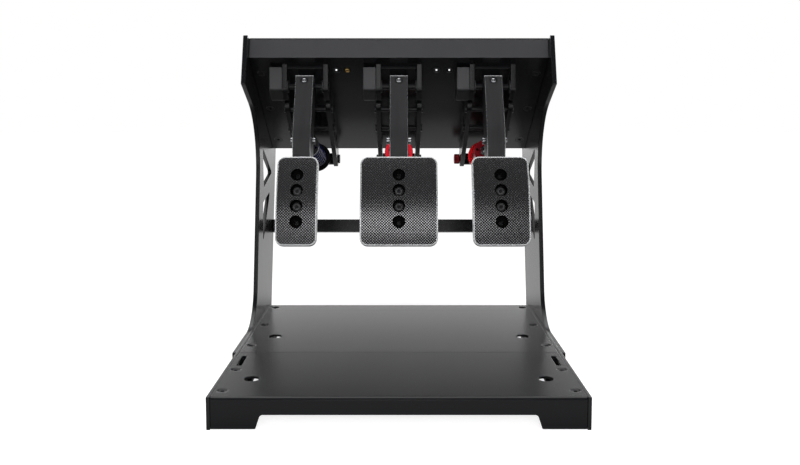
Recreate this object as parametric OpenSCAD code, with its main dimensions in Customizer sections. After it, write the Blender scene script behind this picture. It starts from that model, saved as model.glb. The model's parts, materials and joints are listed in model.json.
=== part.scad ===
// Hanging three-pedal set for sim racing in a free-standing steel frame.
// Millimetres, +Z up, -Y towards the driver. Origin at the middle of the footprint, on the floor.
// Working frame of every module: x across, y = distance behind the front lip, z = height.

/* [Base] */
// Clear width between the two side panels
inner_w = 398; // [380:1:430]
// Length of the base
base_l = 401; // [390:1:415]
// Height of the base
base_h = 35; // [30:0.5:45]
// Sheet thickness of heel plate, floor plate and deck
sheet_t = 3; // [2:0.5:4]
// Thickness of the base rails
rail_t = 4; // [3:0.5:5]
// Inward width of the bottom flange of a rail
rail_flange_w = 17; // [12:0.5:24]
// Inward width of the ledge that carries the sheets
rail_ledge_w = 25; // [22:0.5:40]
// Distance of flanges and ledges from both ends of the base
rail_end = 8; // [6:0.5:12]
// Distance of the seam between heel plate and floor plate from the front
seam_y = 156; // [148:0.5:164]
// Open gap along the sheets
sheet_gap = 0.4; // [0.2:0.1:0.8]
// Bend radius on the outside of the sheets
bend_r = 4; // [3.5:0.5:6]
// Height of the raised middle of the front lip
lip_raise = 16; // [8:0.5:24]
// Width of the raised middle of the front lip
lip_span = 287; // [240:1:320]
// Sideways run of the slanted foot edge
lip_slant = 5; // [2:0.5:10]
// Gap between the feet of the front lip and the floor
lip_lift = 1; // [0.5:0.1:3]
// Height of the rear lip of the floor plate
rear_lip_h = 20; // [12:0.5:26]

/* [Base holes] */
// Distance of the hard-mount holes from the inside of the panels
mount_inset = 37; // [34:0.5:42]
// Distance of the front hard-mount holes from the front
mount_y = 58.5; // [45:0.5:75]
// Distance between front and rear hard-mount holes
mount_pitch = 168; // [160:0.5:190]
// Hard-mount hole diameter
mount_hole_d = 6.6; // [5.5:0.1:8]
// Access hole diameter above each hard-mount hole
access_d = 16.8; // [13:0.1:20]
// Size of the square tab round a hard-mount hole
tab_l = 40; // [30:1:50]
// Distance of the slots from the inside of the panels
slot_inset = 13.5; // [12:0.1:15]
// Slot width
slot_w = 6.4; // [5:0.1:8]
// Distance of the slots from the front
slot_y = 104; // [101:0.5:108]
// Slot length
slot_l = 37; // [25:0.5:40]

/* [Side panels] */
// Thickness of a side panel
panel_t = 6; // [4:0.5:8]
// Distance of the panel foot from the front
foot_y = 160.6; // [150:0.2:170]
// Height of the panel foot
foot_h = 33; // [28:0.5:34]
// Gap between panel and floor
foot_lift = 0.6; // [0.4:0.1:2]
// Distance of the column front edge from the front, at the height of the foot
column_y = 299; // [294:0.5:304]
// Backward lean of the column front edge
column_lean = 12.2; // [11:0.1:13]
// Fillet between foot and column
column_fillet = 58; // [30:1:64]
// Distance of the lower wing corner from the front
wing_y = 243.3; // [235:0.2:250]
// Height of the lower wing corner
wing_z = 363.8; // [356:0.2:370]
// Slope of the lower wing edge
wing_slope = 26; // [24:0.5:28]
// Fillet between column and wing
wing_fillet = 94; // [60:1:100]
// Distance of the top front corner from the front
peak_y = 266; // [260:0.2:270]
// Distance of the rear edge from the front, at the floor
rear_y = 422.5; // [418:0.5:430]
// Backward lean of the rear edge
rear_lean = 14.9; // [14:0.1:16]
// Rounding of the rear corners
rear_round = 5; // [2:0.5:10]
// Upper cut-out: distances of its corners from the front
upper_cut_y = [371, 451, 376];
// Upper cut-out: heights of its corners
upper_cut_z = [275, 233.5, 217];
// Lower cut-out: distances of its corners from the front
lower_cut_y = [430, 367, 360.5];
// Lower cut-out: heights of its corners
lower_cut_z = [206, 195, 137];
// Rounding inside the cut-outs
cut_round = 3; // [1:0.5:5]

/* [Cross bar] */
// Height of the bar
bar_h = 20; // [14:0.5:26]
// Thickness of the bar
bar_t = 12; // [10:0.5:14]
// Height of the middle of the bar
bar_z = 146.5; // [120:0.5:170]
// Set-back of the bar from the rear edge of the panels
bar_set = 1; // [0.5:0.5:6]

/* [Deck] */
// Distance of the front edge of the deck underside from the front
deck_y = 272; // [269:0.2:276]
// Height of the front edge of the deck underside
deck_z = 399.5; // [396:0.2:403]
// Downward tilt of the deck
deck_tilt = 33.86; // [32:0.1:35]
// Length of the deck underside
deck_l = 231.7; // [228:0.1:236]
// Depth of the deck
deck_t = 26; // [24:0.5:28]
// Forward slant of the front face
deck_slant = 18.5; // [10:0.5:25]
// Thickness of the deck cover
cover_t = 2; // [1.5:0.1:3]
// Distance of the underside screws from the inside of the panels
deck_screw_inset = 12; // [10:0.5:16]
// Screw post radius inside the deck
post_r = 6; // [5:0.5:7]
// Screw post height inside the deck
post_h = 10; // [8:0.5:14]

/* [Electronics] */
// Distance of the sockets from the front edge of the deck
port_u = 27; // [24:0.2:31]
// Sideways places of the three sockets
port_x = [-84.8, 50.9, 68.3];
// Sideways place of the sensitivity dial
dial_x = -70; // [-72:0.5:-66]
// Socket radius
port_r = 5; // [4:0.1:5.5]
// Radius of the opening in a socket
port_bore_r = 3; // [2.2:0.1:3.5]
// Radius of the pin in a socket
port_pin_r = 1.3; // [0.8:0.1:1.6]
// Depth of the opening in a socket
port_depth = 4; // [2:0.1:5]
// Radius of the sensitivity dial
dial_r = 3.6; // [3:0.1:4]
// Length of the dial below the deck
dial_out = 1.6; // [1:0.1:3]
// Width of the screwdriver slot in the dial
dial_slot = 1; // [0.6:0.1:1.4]
// Height of the board above the deck underside
board_w = 9; // [8:0.1:10]
// Board thickness
board_t = 1.6; // [1:0.1:2]
// Board length along the deck
board_l = 46; // [40:0.5:60]
// Overhang of the board beyond the outermost sockets
board_over = 16; // [14:0.5:20]

/* [Pedal modules] */
// Distance between neighbouring pedals
pedal_pitch = 126; // [122:0.5:130]
// Outer width of a yoke
yoke_w = 62; // [60:0.5:64]
// Thickness of a yoke cheek and of the yoke web
yoke_t = 7; // [6:0.5:7.5]
// Thickness of the yoke web
yoke_web = 5; // [3:0.5:6]
// Distance of the yoke from the front edge of the deck
yoke_u = 13.5; // [11:0.5:15]
// Length of the yoke on the deck
yoke_l = 47; // [45:0.5:48]
// Depth of the yoke below the deck
yoke_v = 31; // [30.5:0.5:34]
// Width of a sensor housing
sensor_w = 17; // [14:0.5:20]
// Pivot place along the deck
pivot_u = 34.6; // [34:0.2:36]
// Pivot place below the deck
pivot_v = 21.9; // [21:0.1:22.4]
// Axle radius
axle_r = 4; // [3.5:0.1:4.5]
// Bush radius
bush_r = 6.5; // [6:0.1:7]
// Bush flange radius
bush_flange_r = 8.5; // [8:0.1:9]
// Bush flange thickness
bush_flange_t = 1.5; // [1:0.1:2]
// Cheek thickness
cheek_t = 6.5; // [5:0.5:9]
// Clear width between the long cheeks
cheek_in = 50; // [48:0.5:52]
// Start of the long cheeks along the deck
cheek_u = 63; // [61.5:0.5:66]
// Depth of the long cheeks below the deck
cheek_v = 36; // [34.5:0.5:40]
// Rounding of the lower front corner of the cheeks
cheek_round = 9; // [6:0.5:12]
// Rounding of the upper rear corner of the cheeks
cheek_tail_round = 6; // [3:0.5:8]
// Clear rim of the truss holes in the cheeks
truss_rim = 6; // [5:0.5:7]
// Half width of a truss member
truss_web = 4; // [3:0.5:5]
// Place of the front spacers along the deck
spacer_u = 80; // [76:0.5:84]
// Distance between front and rear spacers
spacer_pitch = 48; // [44:0.5:52]
// Spacer place below the deck
spacer_v = 28; // [26:0.5:29]
// Spacer radius
spacer_r = 3.5; // [3:0.1:4.5]

/* [Arms] */
// Arm width
arm_w = 24; // [22:0.5:26]
// Arm depth
arm_d = 34; // [32:0.5:36]
// Arm depth at the lower end
arm_end_d = 26; // [22:0.5:30]
// Wall thickness of the arm channel
arm_wall = 3; // [2.5:0.1:4]
// Lean of the upper arm
arm_lean = 27.5; // [25:0.5:30]
// Lean of the lower arm
arm_low_lean = 3; // [1:0.5:5]
// Length of the arm above the pivot
arm_top = 8; // [7:0.5:9]
// Length from pivot to bend
arm_bend = 86; // [80:0.5:92]
// Length from bend to lower end
arm_low = 112; // [105:0.5:116]
// Solid hub length below the pivot
arm_hub = 13; // [11:0.5:16]
// Size of the axle clamp screw against a base screw
clamp_scale = 0.58; // [0.5:0.01:0.8]
// Gap between the tip of the clamp screw and the axle
clamp_gap = 0.5; // [0.3:0.1:1]
// Length of the strut pin beyond the arm on each side
pin_out = 4; // [3:0.5:5]
// Radius of the bend, on the front of the arm
arm_knee_r = 90; // [60:1:110]
// Rounding of the front corners of the arm
arm_corner_r = 2; // [1:0.5:3]
// Rounding of the rear corner at the lower end
arm_heel_r = 8; // [4:0.5:10]
// Rounding of the rear corner at the upper end
arm_crown_r = 7; // [4:0.5:10]

/* [Pads] */
// Pad widths: clutch, brake, throttle
pad_w = [52, 98, 72];
// Sideways offset of each pad from its arm
pad_dx = [-2.5, 0, 2.5];
// Pad length
pad_l = 115; // [105:0.5:120]
// Length of the pad above the middle of its holes
pad_up = 55.5; // [50:0.5:60]
// Distance of the pad middle ahead of the pivot
pad_ahead = 93.1; // [90:0.1:96]
// Distance of the pad middle below the pivot
pad_below = 141.4; // [138:0.1:145]
// Backward lean of the pads
pad_lean = 18.5; // [16:0.5:21]
// Radius of the convex pad face
pad_face_r = 250; // [220:5:400]
// Pad thickness at the middle
pad_t = 15; // [13:0.5:17]
// Corner rounding of the pads
pad_corner = 10; // [6:0.5:14]
// Thickness of the grip face
grip_t = 1.2; // [0.8:0.1:1.6]
// Metal rim left round the grip face
grip_rim = 2; // [1.5:0.1:3]
// Pad hole diameter
pad_hole_d = 16; // [14:0.2:17]
// Distance between pad holes
pad_hole_pitch = 20.2; // [19:0.1:21]
// Depth of the pad holes
pad_hole_depth = 10; // [8:0.5:11]
// Carrier half length
carrier_l = 38; // [30:0.5:42]

/* [Struts] */
// Distance of the strut pin ahead of the pivot
eye_ahead = 33.5; // [31:0.1:36]
// Distance of the strut pin below the pivot
eye_below = 72; // [69:0.1:75]
// Rear pin place along the deck
rear_u = 221.8; // [219:0.2:223]
// Rear pin place below the deck
rear_v = 24.9; // [23.5:0.1:26]
// Full stroke of each pedal in degrees: clutch, brake, throttle
stroke = [20, 11, 18];
// Arm pin radius
pin_r = 3.5; // [3:0.1:4]
// Head radius of the arm pin
pin_head_r = 4.6; // [4.2:0.1:5.6]
// Free play between arm pin and strut eye
eye_play = 1.3; // [1.2:0.1:1.6]
// Outer radius of the strut eye
eye_r = 9; // [8:0.1:9.5]
// Width of the strut eye
eye_w = 12; // [9:0.5:14]
// Strut rod radius
rod_r = 5; // [4:0.1:5.5]
// Trunnion tube radius
tube_r = 8; // [7:0.1:8.6]
// Rear pin radius
rear_pin_r = 4; // [3.5:0.1:4.5]
// Head radius of the rear pins
rear_head_r = 6.8; // [6:0.1:8]
// Trunnion boss radius
boss_r = 9; // [8:0.1:9.5]
// Rear end of the rod from the eye
rod_end = 152; // [149:0.5:153]
// Front end of the trunnion tube from the eye
tube_front = 138; // [137.5:0.5:141]
// Front cup place from the eye, back face: clutch, brake, throttle
cup_s = [45, 116, 107];
// Rear seat place from the eye, front face: clutch, brake, throttle
seat_s = [170, 160, 155];
// Front cup radii: clutch, brake, throttle
cup_r = [16.6, 20.6, 17.2];
// Rear seat radii: clutch, brake, throttle
seat_r = [21.5, 16, 21.6];
// Cup and seat plate thickness
cup_t = 4; // [3:0.2:5]
// Radius of the holes in a cup
cup_hole_r = 2; // [1.5:0.1:2.5]
// Distance of those holes from the strut axis
cup_hole_at = 12.6; // [12:0.1:13.5]
// Turn of those holes round the strut axis
cup_turn = 14; // [0:1:89]
// Cup hub radius
hub_r = 9; // [7:0.1:9.5]
// Cup hub length
hub_l = 5; // [3:0.5:5.5]

/* [Springs] */
// Mean coil radius: clutch, throttle
coil_r = [14, 13];
// Wire diameter: clutch, throttle
wire_d = [4, 3.4];
// Number of turns: clutch, throttle
coil_n = [8.5, 6];
// Elastomer ring radius
elast_r = 16; // [14:0.5:18]
// Number of elastomer rings
elast_n = 3; // [2:1:4]
// Thickness of the washers between elastomer rings
washer_t = 1.2; // [0.8:0.1:2]

/* [Knob] */
// Knob radius
knob_r = 7.6; // [6.5:0.1:8.5]
// Knob width
knob_w = 8.5; // [7:0.5:11]
// Depth of the end of the pin below the face of the knob
knob_recess = 1.5; // [1:0.1:3]
// Number of grooves round the knob
knob_n = 20; // [12:1:28]
// Groove radius
knob_groove = 0.7; // [0.4:0.1:0.9]

/* [Screws] */
// Radius of M6 shanks
m6_r = 3; // [2.5:0.1:3.2]
// Head radius of countersunk screws
csk_r = 6; // [5:0.1:6.5]
// Head height of countersunk screws
csk_h = 2.8; // [2:0.1:3]
// Length of countersunk screws
csk_l = 8; // [7:0.5:9]
// Head radius of button screws
button_r = 5.6; // [5:0.1:6]
// Head height of button screws
button_h = 3.2; // [2.5:0.1:3.6]
// Distance of base screws from the inside of the panels
screw_inset = 13; // [11:0.2:14]
// Place of the first base screws from the front
screw_y = 21; // [16:0.5:26]
// Distance between the two pairs of heel plate screws
screw_pitch = 69; // [60:0.5:74]
// Distance of the first floor plate screws behind the seam
screw_seam = 30; // [24:0.5:36]
// Distance of the last base screws from the rear end
screw_end = 19; // [15:0.5:25]
// Distance of the first foot bolts behind the panel foot
foot_bolt_y = 23.4; // [18:0.2:28]
// Distance of the last foot bolts from the rear end of the base
foot_bolt_end = 13; // [10:0.5:18]
// Number of foot bolts in each panel
foot_bolt_n = 4; // [3:1:5]
// Place of the first deck screws and deck bolts along the deck
deck_fix_u = 35; // [30:0.5:40]
// Distance between deck screws and between deck bolts
deck_fix_pitch = 85; // [80:0.5:90]
// Hex socket depth
hex_depth = 1.8; // [1.2:0.1:2.2]
// Hex socket radius
hex_r = 2.6; // [1.8:0.1:2.7]

/* [Fits] */
// Radial running fit of turning shafts
run_fit = 0.06; // [0.03:0.01:0.1]
// Clear gap between moving parts
move_gap = 0.4; // [0.3:0.05:0.6]
// Gap between a spring and its seats
seat_gap = 0.3; // [0.3:0.05:0.5]
// Overrun of cutting tools
over = 1; // [0.5:0.5:2]

/* [Hidden] */
$fn = 48;
PEDALS = ["clutch", "brake", "throttle"];
KINDS = ["yoke", "sensor_housing", "cheeks", "axle", "arm", "pad_carrier", "pad", "pad_grip",
  "pad_screws", "arm_bolts", "strut_rod", "spring_cup", "trunnion", "spring"];
FRAME_NODES = ["heel_plate", "floor_plate", "base_rail_left", "base_rail_right",
  "countersunk_screws", "side_panel_left", "side_panel_right", "frame_bolts", "cross_bar",
  "deck", "deck_cover", "control_board", "sensitivity_dial", "axle_bushes", "rear_pins",
  "cheek_spacers", "throttle_knob"];

half_in = inner_w / 2;
tray_half = half_in - rail_t - sheet_gap;
top_z = base_h - sheet_t;
deck_half = half_in;
box_t = deck_t - cover_t;
spacer_us = [spacer_u, spacer_u + spacer_pitch];
deck_fix_us = [for (k = [0:2]) deck_fix_u + k * deck_fix_pitch];
screw_last = base_l - screw_end;
screw_ys = [screw_y, screw_y + screw_pitch, seam_y + screw_seam, (seam_y + screw_seam + screw_last) / 2,
  screw_last];
bolt_first = foot_y + foot_bolt_y;
bolt_last = base_l - foot_bolt_end;
foot_bolt_ys = [for (k = [0:foot_bolt_n - 1])
  bolt_first + (bolt_last - bolt_first) * k / (foot_bolt_n - 1)];

function unit(v) = v / norm(v);
function turned(v, a) = [v[0] * cos(a) - v[1] * sin(a), v[0] * sin(a) + v[1] * cos(a)];
function wrap(a) = a > 180 ? a - 360 : a < -180 ? a + 360 : a;
function cross2(a, b) = a[0] * b[1] - a[1] * b[0];
// Crossing of the line through p along d with the line through q along e
function meet(p, d, q, e) = p + d * (cross2(q - p, e) / cross2(d, e));

// Arc that rounds corner b of the path a, b, c
function arc_at(a, b, c, r, n) =
  let (
    u = unit(a - b),
    w = unit(c - b),
    half = acos(u * w) / 2,
    centre = b + unit(u + w) * (r / sin(half)),
    p = b + u * (r / tan(half)) - centre,
    q = b + w * (r / tan(half)) - centre,
    from = atan2(p[1], p[0]),
    sweep = wrap(atan2(q[1], q[0]) - from)
  )
  [for (i = [0:n]) centre + r * [cos(from + sweep * i / n), sin(from + sweep * i / n)]];

// Outline with rounded corners, radius 0 keeps a corner sharp
function rounded(pts, radii, n = 8) =
  let (m = len(pts))
  [for (i = [0:m - 1])
    each (radii[i] > 0
      ? arc_at(pts[(i + m - 1) % m], pts[i], pts[(i + 1) % m], radii[i], n)
      : [pts[i]])];

function zip(a, b) = [for (i = [0:len(a) - 1]) [a[i], b[i]]];

// Point of the side view at u along the deck and v below it
function deck_pt(u, v) = [
  deck_y + u * cos(deck_tilt) - v * sin(deck_tilt),
  deck_z - u * sin(deck_tilt) - v * cos(deck_tilt)];

deck_dir = [cos(deck_tilt), -sin(deck_tilt)];
deck_top = deck_pt(0, -deck_t);
rear_dir = [sin(rear_lean), cos(rear_lean)];
column_dir = [sin(column_lean), cos(column_lean)];
wing_dir = [cos(wing_slope), -sin(wing_slope)];
rear_foot = [rear_y, 0];
column_foot = [column_y, foot_h];
wing_corner = [wing_y, wing_z];
deck_peak = deck_pt(-box_t * tan(deck_slant), -deck_t);
panel_peak = [peak_y, deck_peak[1] + (deck_peak[0] - peak_y) * tan(wing_slope / 2)];
rear_low = meet(rear_foot, rear_dir, [0, foot_lift], [1, 0]);

panel_pts = [
  [foot_y, foot_lift],
  [foot_y, foot_h],
  column_foot,
  meet(column_foot, column_dir, wing_corner, wing_dir),
  wing_corner,
  panel_peak,
  deck_peak,
  meet(deck_top, deck_dir, rear_foot, rear_dir),
  rear_low];
panel_radii = [2, 2, column_fillet, wing_fillet, 1.5, 2, 4, rear_round, rear_round];
panel_outline = rounded(panel_pts, panel_radii, 10);
depth = max([for (p = panel_outline) p[0]]);

pivot = deck_pt(pivot_u, pivot_v);
eye = pivot - [eye_ahead, eye_below];
rear_pin = deck_pt(rear_u, rear_v);
pad_mid = pivot - [pad_ahead, pad_below];
strut = rear_pin - eye;
strut_l = norm(strut);
strut_tilt = -atan2(strut[1], strut[0]);
boss_half = cheek_in / 2 - move_gap;
cheek_out = cheek_in / 2 + cheek_t;
yoke_in = yoke_w / 2 - yoke_t;
rear_edge_u = rear_u + boss_r + 1.5;
bar_mid = rear_foot + rear_dir * (bar_z / cos(rear_lean)) - turned(rear_dir, 90) * -(bar_t / 2 + bar_set);
post_top = sheet_t + post_h;

// Kinematics of the struts, printed for the record
function eye_after(a) = pivot + turned(eye - pivot, a);
function strut_turn(a) =
  let (v = rear_pin - eye_after(a))
  atan2(v[1], v[0]) + strut_tilt;
function strut_shift(a) = strut_l - norm(rear_pin - eye_after(a));

for (i = [0:2])
  echo(str(PEDALS[i], " stroke ", stroke[i], " slides ", strut_shift(stroke[i]), " turns ",
    strut_turn(stroke[i]), " half turns ", strut_turn(stroke[i] / 2)));
echo(str("depth ", depth, " pivot ", pivot, " eye ", eye, " rear pin ", rear_pin,
  " strut length ", strut_l, " strut tilt ", strut_tilt));

// Solid along x from a side-view outline
module side_view(x0, w) {
  translate([x0, 0, 0])
    rotate([90, 0, 90])
      linear_extrude(w)
        children();
}

module on_deck() {
  translate([0, deck_y, deck_z])
    rotate([-deck_tilt, 0, 0])
      children();
}

// Solid along x from an outline in u (along the deck) and v (below it)
module deck_view(x0, w) {
  on_deck()
    translate([x0, 0, 0])
      rotate([90, 0, 90])
        linear_extrude(w)
          mirror([0, 1])
            children();
}

module deck_hole(x, u, r, w0, h) {
  on_deck()
    translate([x, u, w0])
      cylinder(h = h, r = r);
}

module cross_rod(x0, x1, at, r) {
  translate([x0, at[0], at[1]])
    rotate([0, 90, 0])
      cylinder(h = x1 - x0, r = r);
}

module at_pedal(i) {
  translate([(i - 1) * pedal_pitch, 0, 0])
    children();
}

module on_pad(i) {
  translate([(i - 1) * pedal_pitch + pad_dx[i], pad_mid[0], pad_mid[1]])
    rotate([-pad_lean, 0, 0])
      children();
}

module on_strut(i) {
  translate([(i - 1) * pedal_pitch, eye[0], eye[1]])
    rotate([-strut_tilt, 0, 0])
      children();
}

// Round bar along the strut between two places
module run(s0, s1, r) {
  translate([0, s0, 0])
    rotate([-90, 0, 0])
      cylinder(h = s1 - s0, r = r);
}

module hex_socket(depth_in) {
  translate([0, 0, -depth_in])
    cylinder(h = depth_in + over, r = hex_r, $fn = 6);
}

// Countersunk screw, head flush with z = 0, pointing down
module csk_screw(l) {
  difference() {
    csk_body(l);
    hex_socket(hex_depth);
  }
}

module csk_body(l) {
  translate([0, 0, -csk_h])
    cylinder(h = csk_h, r1 = m6_r, r2 = csk_r);
  translate([0, 0, -l])
    cylinder(h = l - csk_h / 2, r = m6_r);
}

// Tool that clears a countersunk screw
module csk_cut(l) {
  csk_body(l);
  cylinder(h = over, r = csk_r);
}

// Button screw, head seated on z = 0, pointing down
module button_screw(l) {
  difference() {
    union() {
      cylinder(h = button_h / 2, r = button_r);
      translate([0, 0, button_h / 2])
        cylinder(h = button_h / 2, r1 = button_r, r2 = button_r * 0.72);
      translate([0, 0, -l])
        cylinder(h = l + button_h / 4, r = m6_r);
    }
    translate([0, 0, button_h])
      hex_socket(hex_depth);
  }
}

module both_sides() {
  children();
  mirror([1, 0, 0])
    children();
}

module base_screw_places(from, to) {
  both_sides()
    for (y = [for (s = screw_ys) if (s > from && s < to) s])
      translate([half_in - screw_inset, y, base_h])
        children();
}

module mount_places() {
  both_sides()
    for (y = [mount_y, mount_y + mount_pitch])
      translate([half_in - mount_inset, y, 0])
        children();
}

module slot_cut(z0, h) {
  both_sides()
    translate([half_in - slot_inset, slot_y, z0]) {
      translate([-slot_w / 2, slot_w / 2, 0])
        cube([slot_w, slot_l - slot_w, h]);
      translate([0, slot_w / 2, 0])
        cylinder(h = h, d = slot_w);
      translate([0, slot_l - slot_w / 2, 0])
        cylinder(h = h, d = slot_w);
    }
}

module sheet_cuts(from, to) {
  base_screw_places(from, to)
    csk_cut(csk_l);
  intersection() {
    mount_places()
      cylinder(h = base_h + over, d = access_d);
    translate([-half_in, from, 0])
      cube([inner_w, to - from, base_h + over]);
  }
}

module heel_plate() {
  y1 = seam_y - sheet_gap / 2;
  span = lip_span / 2;
  low = span + lip_slant;
  color("#26272b")
    difference() {
      side_view(-tray_half, 2 * tray_half)
        polygon(rounded([
          [0, lip_lift], [0, base_h], [y1, base_h], [y1, top_z], [sheet_t, top_z],
          [sheet_t, lip_lift]], [0, bend_r, 0, 0, bend_r - sheet_t, 0], 6));
      translate([0, sheet_t + bend_r, 0])
        rotate([90, 0, 0])
          linear_extrude(sheet_t + bend_r + over)
            polygon(rounded([
              [-low, -over], [-low, lip_lift], [-span, lip_raise], [span, lip_raise],
              [low, lip_lift], [low, -over]], [0, 0, 4, 4, 0, 0], 6));
      sheet_cuts(0, seam_y);
      slot_cut(top_z - over, sheet_t + 2 * over);
    }
}

module floor_plate() {
  y0 = seam_y + sheet_gap / 2;
  low = base_h - rear_lip_h;
  color("#26272b")
    difference() {
      side_view(-tray_half, 2 * tray_half)
        polygon(rounded([
          [y0, base_h], [base_l, base_h], [base_l, low], [base_l - sheet_t, low],
          [base_l - sheet_t, top_z], [y0, top_z]], [0, bend_r, 0, 0, bend_r - sheet_t, 0], 6));
      sheet_cuts(seam_y, base_l);
    }
}

module rail() {
  web_in = half_in - rail_t;
  run_l = base_l - 2 * rail_end;
  difference() {
    union() {
      translate([web_in, 0, 0])
        cube([rail_t, base_l, base_h]);
      translate([web_in - rail_flange_w, rail_end, 0])
        cube([rail_flange_w + rail_t / 2, run_l, rail_t]);
      translate([web_in - rail_ledge_w, rail_end, top_z - rail_t])
        cube([rail_ledge_w + rail_t / 2, run_l, rail_t]);
      for (y = [mount_y, mount_y + mount_pitch])
        translate([half_in - mount_inset - tab_l / 4, y - tab_l / 2, 0])
          cube([mount_inset + tab_l / 4 - rail_t / 2, tab_l, rail_t]);
    }
    for (y = [mount_y, mount_y + mount_pitch]) {
      translate([half_in - mount_inset, y, -over])
        cylinder(h = rail_t + 2 * over, d = mount_hole_d);
      translate([half_in - mount_inset, y, top_z - rail_t - over])
        cylinder(h = rail_t + 2 * over, d = access_d);
    }
    slot_cut(top_z - rail_t - over, rail_t + 2 * over);
    base_screw_places(0, base_l)
      translate([0, 0, -csk_l])
        cylinder(h = csk_l, r = m6_r);
    panel_bolt_cuts();
  }
}

module base_rail_right() {
  color("#1b1c1f")
    rail();
}

module base_rail_left() {
  color("#1b1c1f")
    mirror([1, 0, 0])
      rail();
}

module countersunk_screws() {
  color("#2c2c30") {
    base_screw_places(0, base_l)
      csk_screw(csk_l);
    deck_screw_places()
      csk_screw(csk_l);
  }
}

module deck_screw_places() {
  both_sides()
    for (u = deck_fix_us)
      on_deck()
        translate([half_in - deck_screw_inset, u, 0])
          rotate([180, 0, 0])
            children();
}

// Side-view places of the bolts through a panel, with the length of each behind the panel
module panel_bolt_places() {
  for (y = foot_bolt_ys)
    translate([half_in, y, foot_h / 2])
      children();
  for (u = deck_fix_us)
    translate([half_in, deck_pt(u, -box_t / 2)[0], deck_pt(u, -box_t / 2)[1]])
      children();
  translate([half_in, bar_mid[0], bar_mid[1]])
    children();
}

module panel_bolt_cuts() {
  panel_bolt_places()
    translate([-rail_t - over, 0, 0])
      rotate([0, 90, 0])
        cylinder(h = panel_t + rail_t + 2 * over, r = m6_r);
}

module panel() {
  difference() {
    side_view(half_in, panel_t)
      polygon(panel_outline);
    side_view(half_in - over, panel_t + 2 * over)
      polygon(rounded(zip(upper_cut_y, upper_cut_z), [for (i = [0:2]) cut_round], 5));
    side_view(half_in - over, panel_t + 2 * over)
      polygon(rounded(zip(lower_cut_y, lower_cut_z), [for (i = [0:2]) cut_round], 5));
    panel_bolt_cuts();
  }
}

module side_panel_right() {
  color("#232428")
    panel();
}

module side_panel_left() {
  color("#232428")
    mirror([1, 0, 0])
      panel();
}

module frame_bolts() {
  color("#303034")
    both_sides()
      panel_bolt_places()
        translate([panel_t, 0, 0])
          rotate([0, 90, 0])
            button_screw(panel_t + sheet_t);
}

module cross_bar() {
  color("#1f2023")
    difference() {
      translate([-half_in, bar_mid[0], bar_mid[1]])
        rotate([-rear_lean, 0, 0])
          translate([0, -bar_t / 2, -bar_h / 2])
            cube([inner_w, bar_t, bar_h]);
      both_sides()
        cross_rod(half_in - sheet_t, half_in + over, bar_mid, m6_r);
    }
}

module deck_outline(w0, w1, inset) {
  lean = tan(deck_slant);
  thick = inset / cos(deck_slant);
  polygon([
    [-w0 * lean + thick, -w0], [deck_l - inset, -w0], [deck_l - inset, -w1],
    [-w1 * lean + thick, -w1]]);
}

module deck() {
  color("#2a2b2f")
    difference() {
      union() {
        difference() {
          deck_view(-deck_half, 2 * deck_half)
            deck_outline(0, box_t, 0);
          deck_view(-deck_half + sheet_t, 2 * (deck_half - sheet_t))
            deck_outline(sheet_t, box_t + over, sheet_t);
        }
        both_sides()
          for (u = deck_fix_us)
            deck_hole(half_in - deck_screw_inset, u, post_r, sheet_t / 2, post_h);
        for (x = [port_x[0] - board_over / 2, port_x[2] + board_over / 2])
          deck_hole(x, port_u + board_l / 3, post_r / 2, sheet_t / 2, board_w - sheet_t / 2);
      }
      deck_screw_places()
        csk_cut(csk_l);
      both_sides()
        panel_bolt_cuts();
      for (x = port_x)
        deck_hole(x, port_u, port_r + move_gap, -over, sheet_t + 2 * over);
      deck_hole(dial_x, port_u, dial_r + move_gap, -over, sheet_t + 2 * over);
    }
}

module deck_cover() {
  color("#242529")
    deck_view(-deck_half, 2 * deck_half)
      deck_outline(box_t, deck_t, 0);
}

module control_board() {
  x0 = port_x[0] - board_over;
  x1 = port_x[2] + board_over;
  color("#17181a")
    difference() {
      union() {
        on_deck()
          translate([x0, port_u - board_l / 3, board_w])
            cube([x1 - x0, board_l, board_t]);
        for (x = port_x)
          deck_hole(x, port_u, port_r, 0.3, board_w);
        deck_hole(dial_x, port_u, dial_r + 2, sheet_t + move_gap, board_w - sheet_t);
      }
      for (x = port_x)
        difference() {
          deck_hole(x, port_u, port_bore_r, -over, port_depth + over);
          deck_hole(x, port_u, port_pin_r, -2 * over, port_depth + 3 * over);
        }
      deck_hole(dial_x, port_u, dial_r + run_fit, -over, board_w + board_t + 3 * over);
    }
}

module sensitivity_dial() {
  color("#c9a24a")
    difference() {
      deck_hole(dial_x, port_u, dial_r, -dial_out, board_w + dial_out);
      on_deck()
        translate([dial_x - dial_slot / 2, port_u - dial_r - over, -dial_out - over])
          cube([dial_slot, 2 * (dial_r + over), over + dial_slot]);
    }
}

module yoke_outline(drop) {
  lean = tan(deck_tilt - 5);
  polygon(rounded([
    [yoke_u + drop * lean, drop], [yoke_u + yoke_v * lean, yoke_v],
    [yoke_u + yoke_l - 3, yoke_v], [yoke_u + yoke_l, drop]], [0, 6, 5, 0], 6));
}

module yoke(i) {
  color("#1d1e21")
    difference() {
      at_pedal(i) {
        deck_view(-yoke_w / 2, yoke_t)
          yoke_outline(0);
        deck_view(yoke_w / 2 - yoke_t, yoke_t)
          yoke_outline(0);
        deck_view(-yoke_w / 2 + yoke_t / 2, yoke_w - yoke_t)
          translate([yoke_u + 3, 0])
            square([yoke_l - 6, yoke_web]);
      }
      at_pedal(i)
        cross_rod(-yoke_w / 2 - over, yoke_w / 2 + over, pivot, bush_r);
    }
}

module sensor_housing(i) {
  color("#141517")
    difference() {
      at_pedal(i)
        deck_view(-yoke_w / 2 - sensor_w, sensor_w)
          yoke_outline(3.5);
      at_pedal(i)
        cross_rod(-yoke_w / 2 - sensor_w * 0.6, -yoke_w / 2 + over, pivot, axle_r + 2 * move_gap);
    }
}

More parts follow.
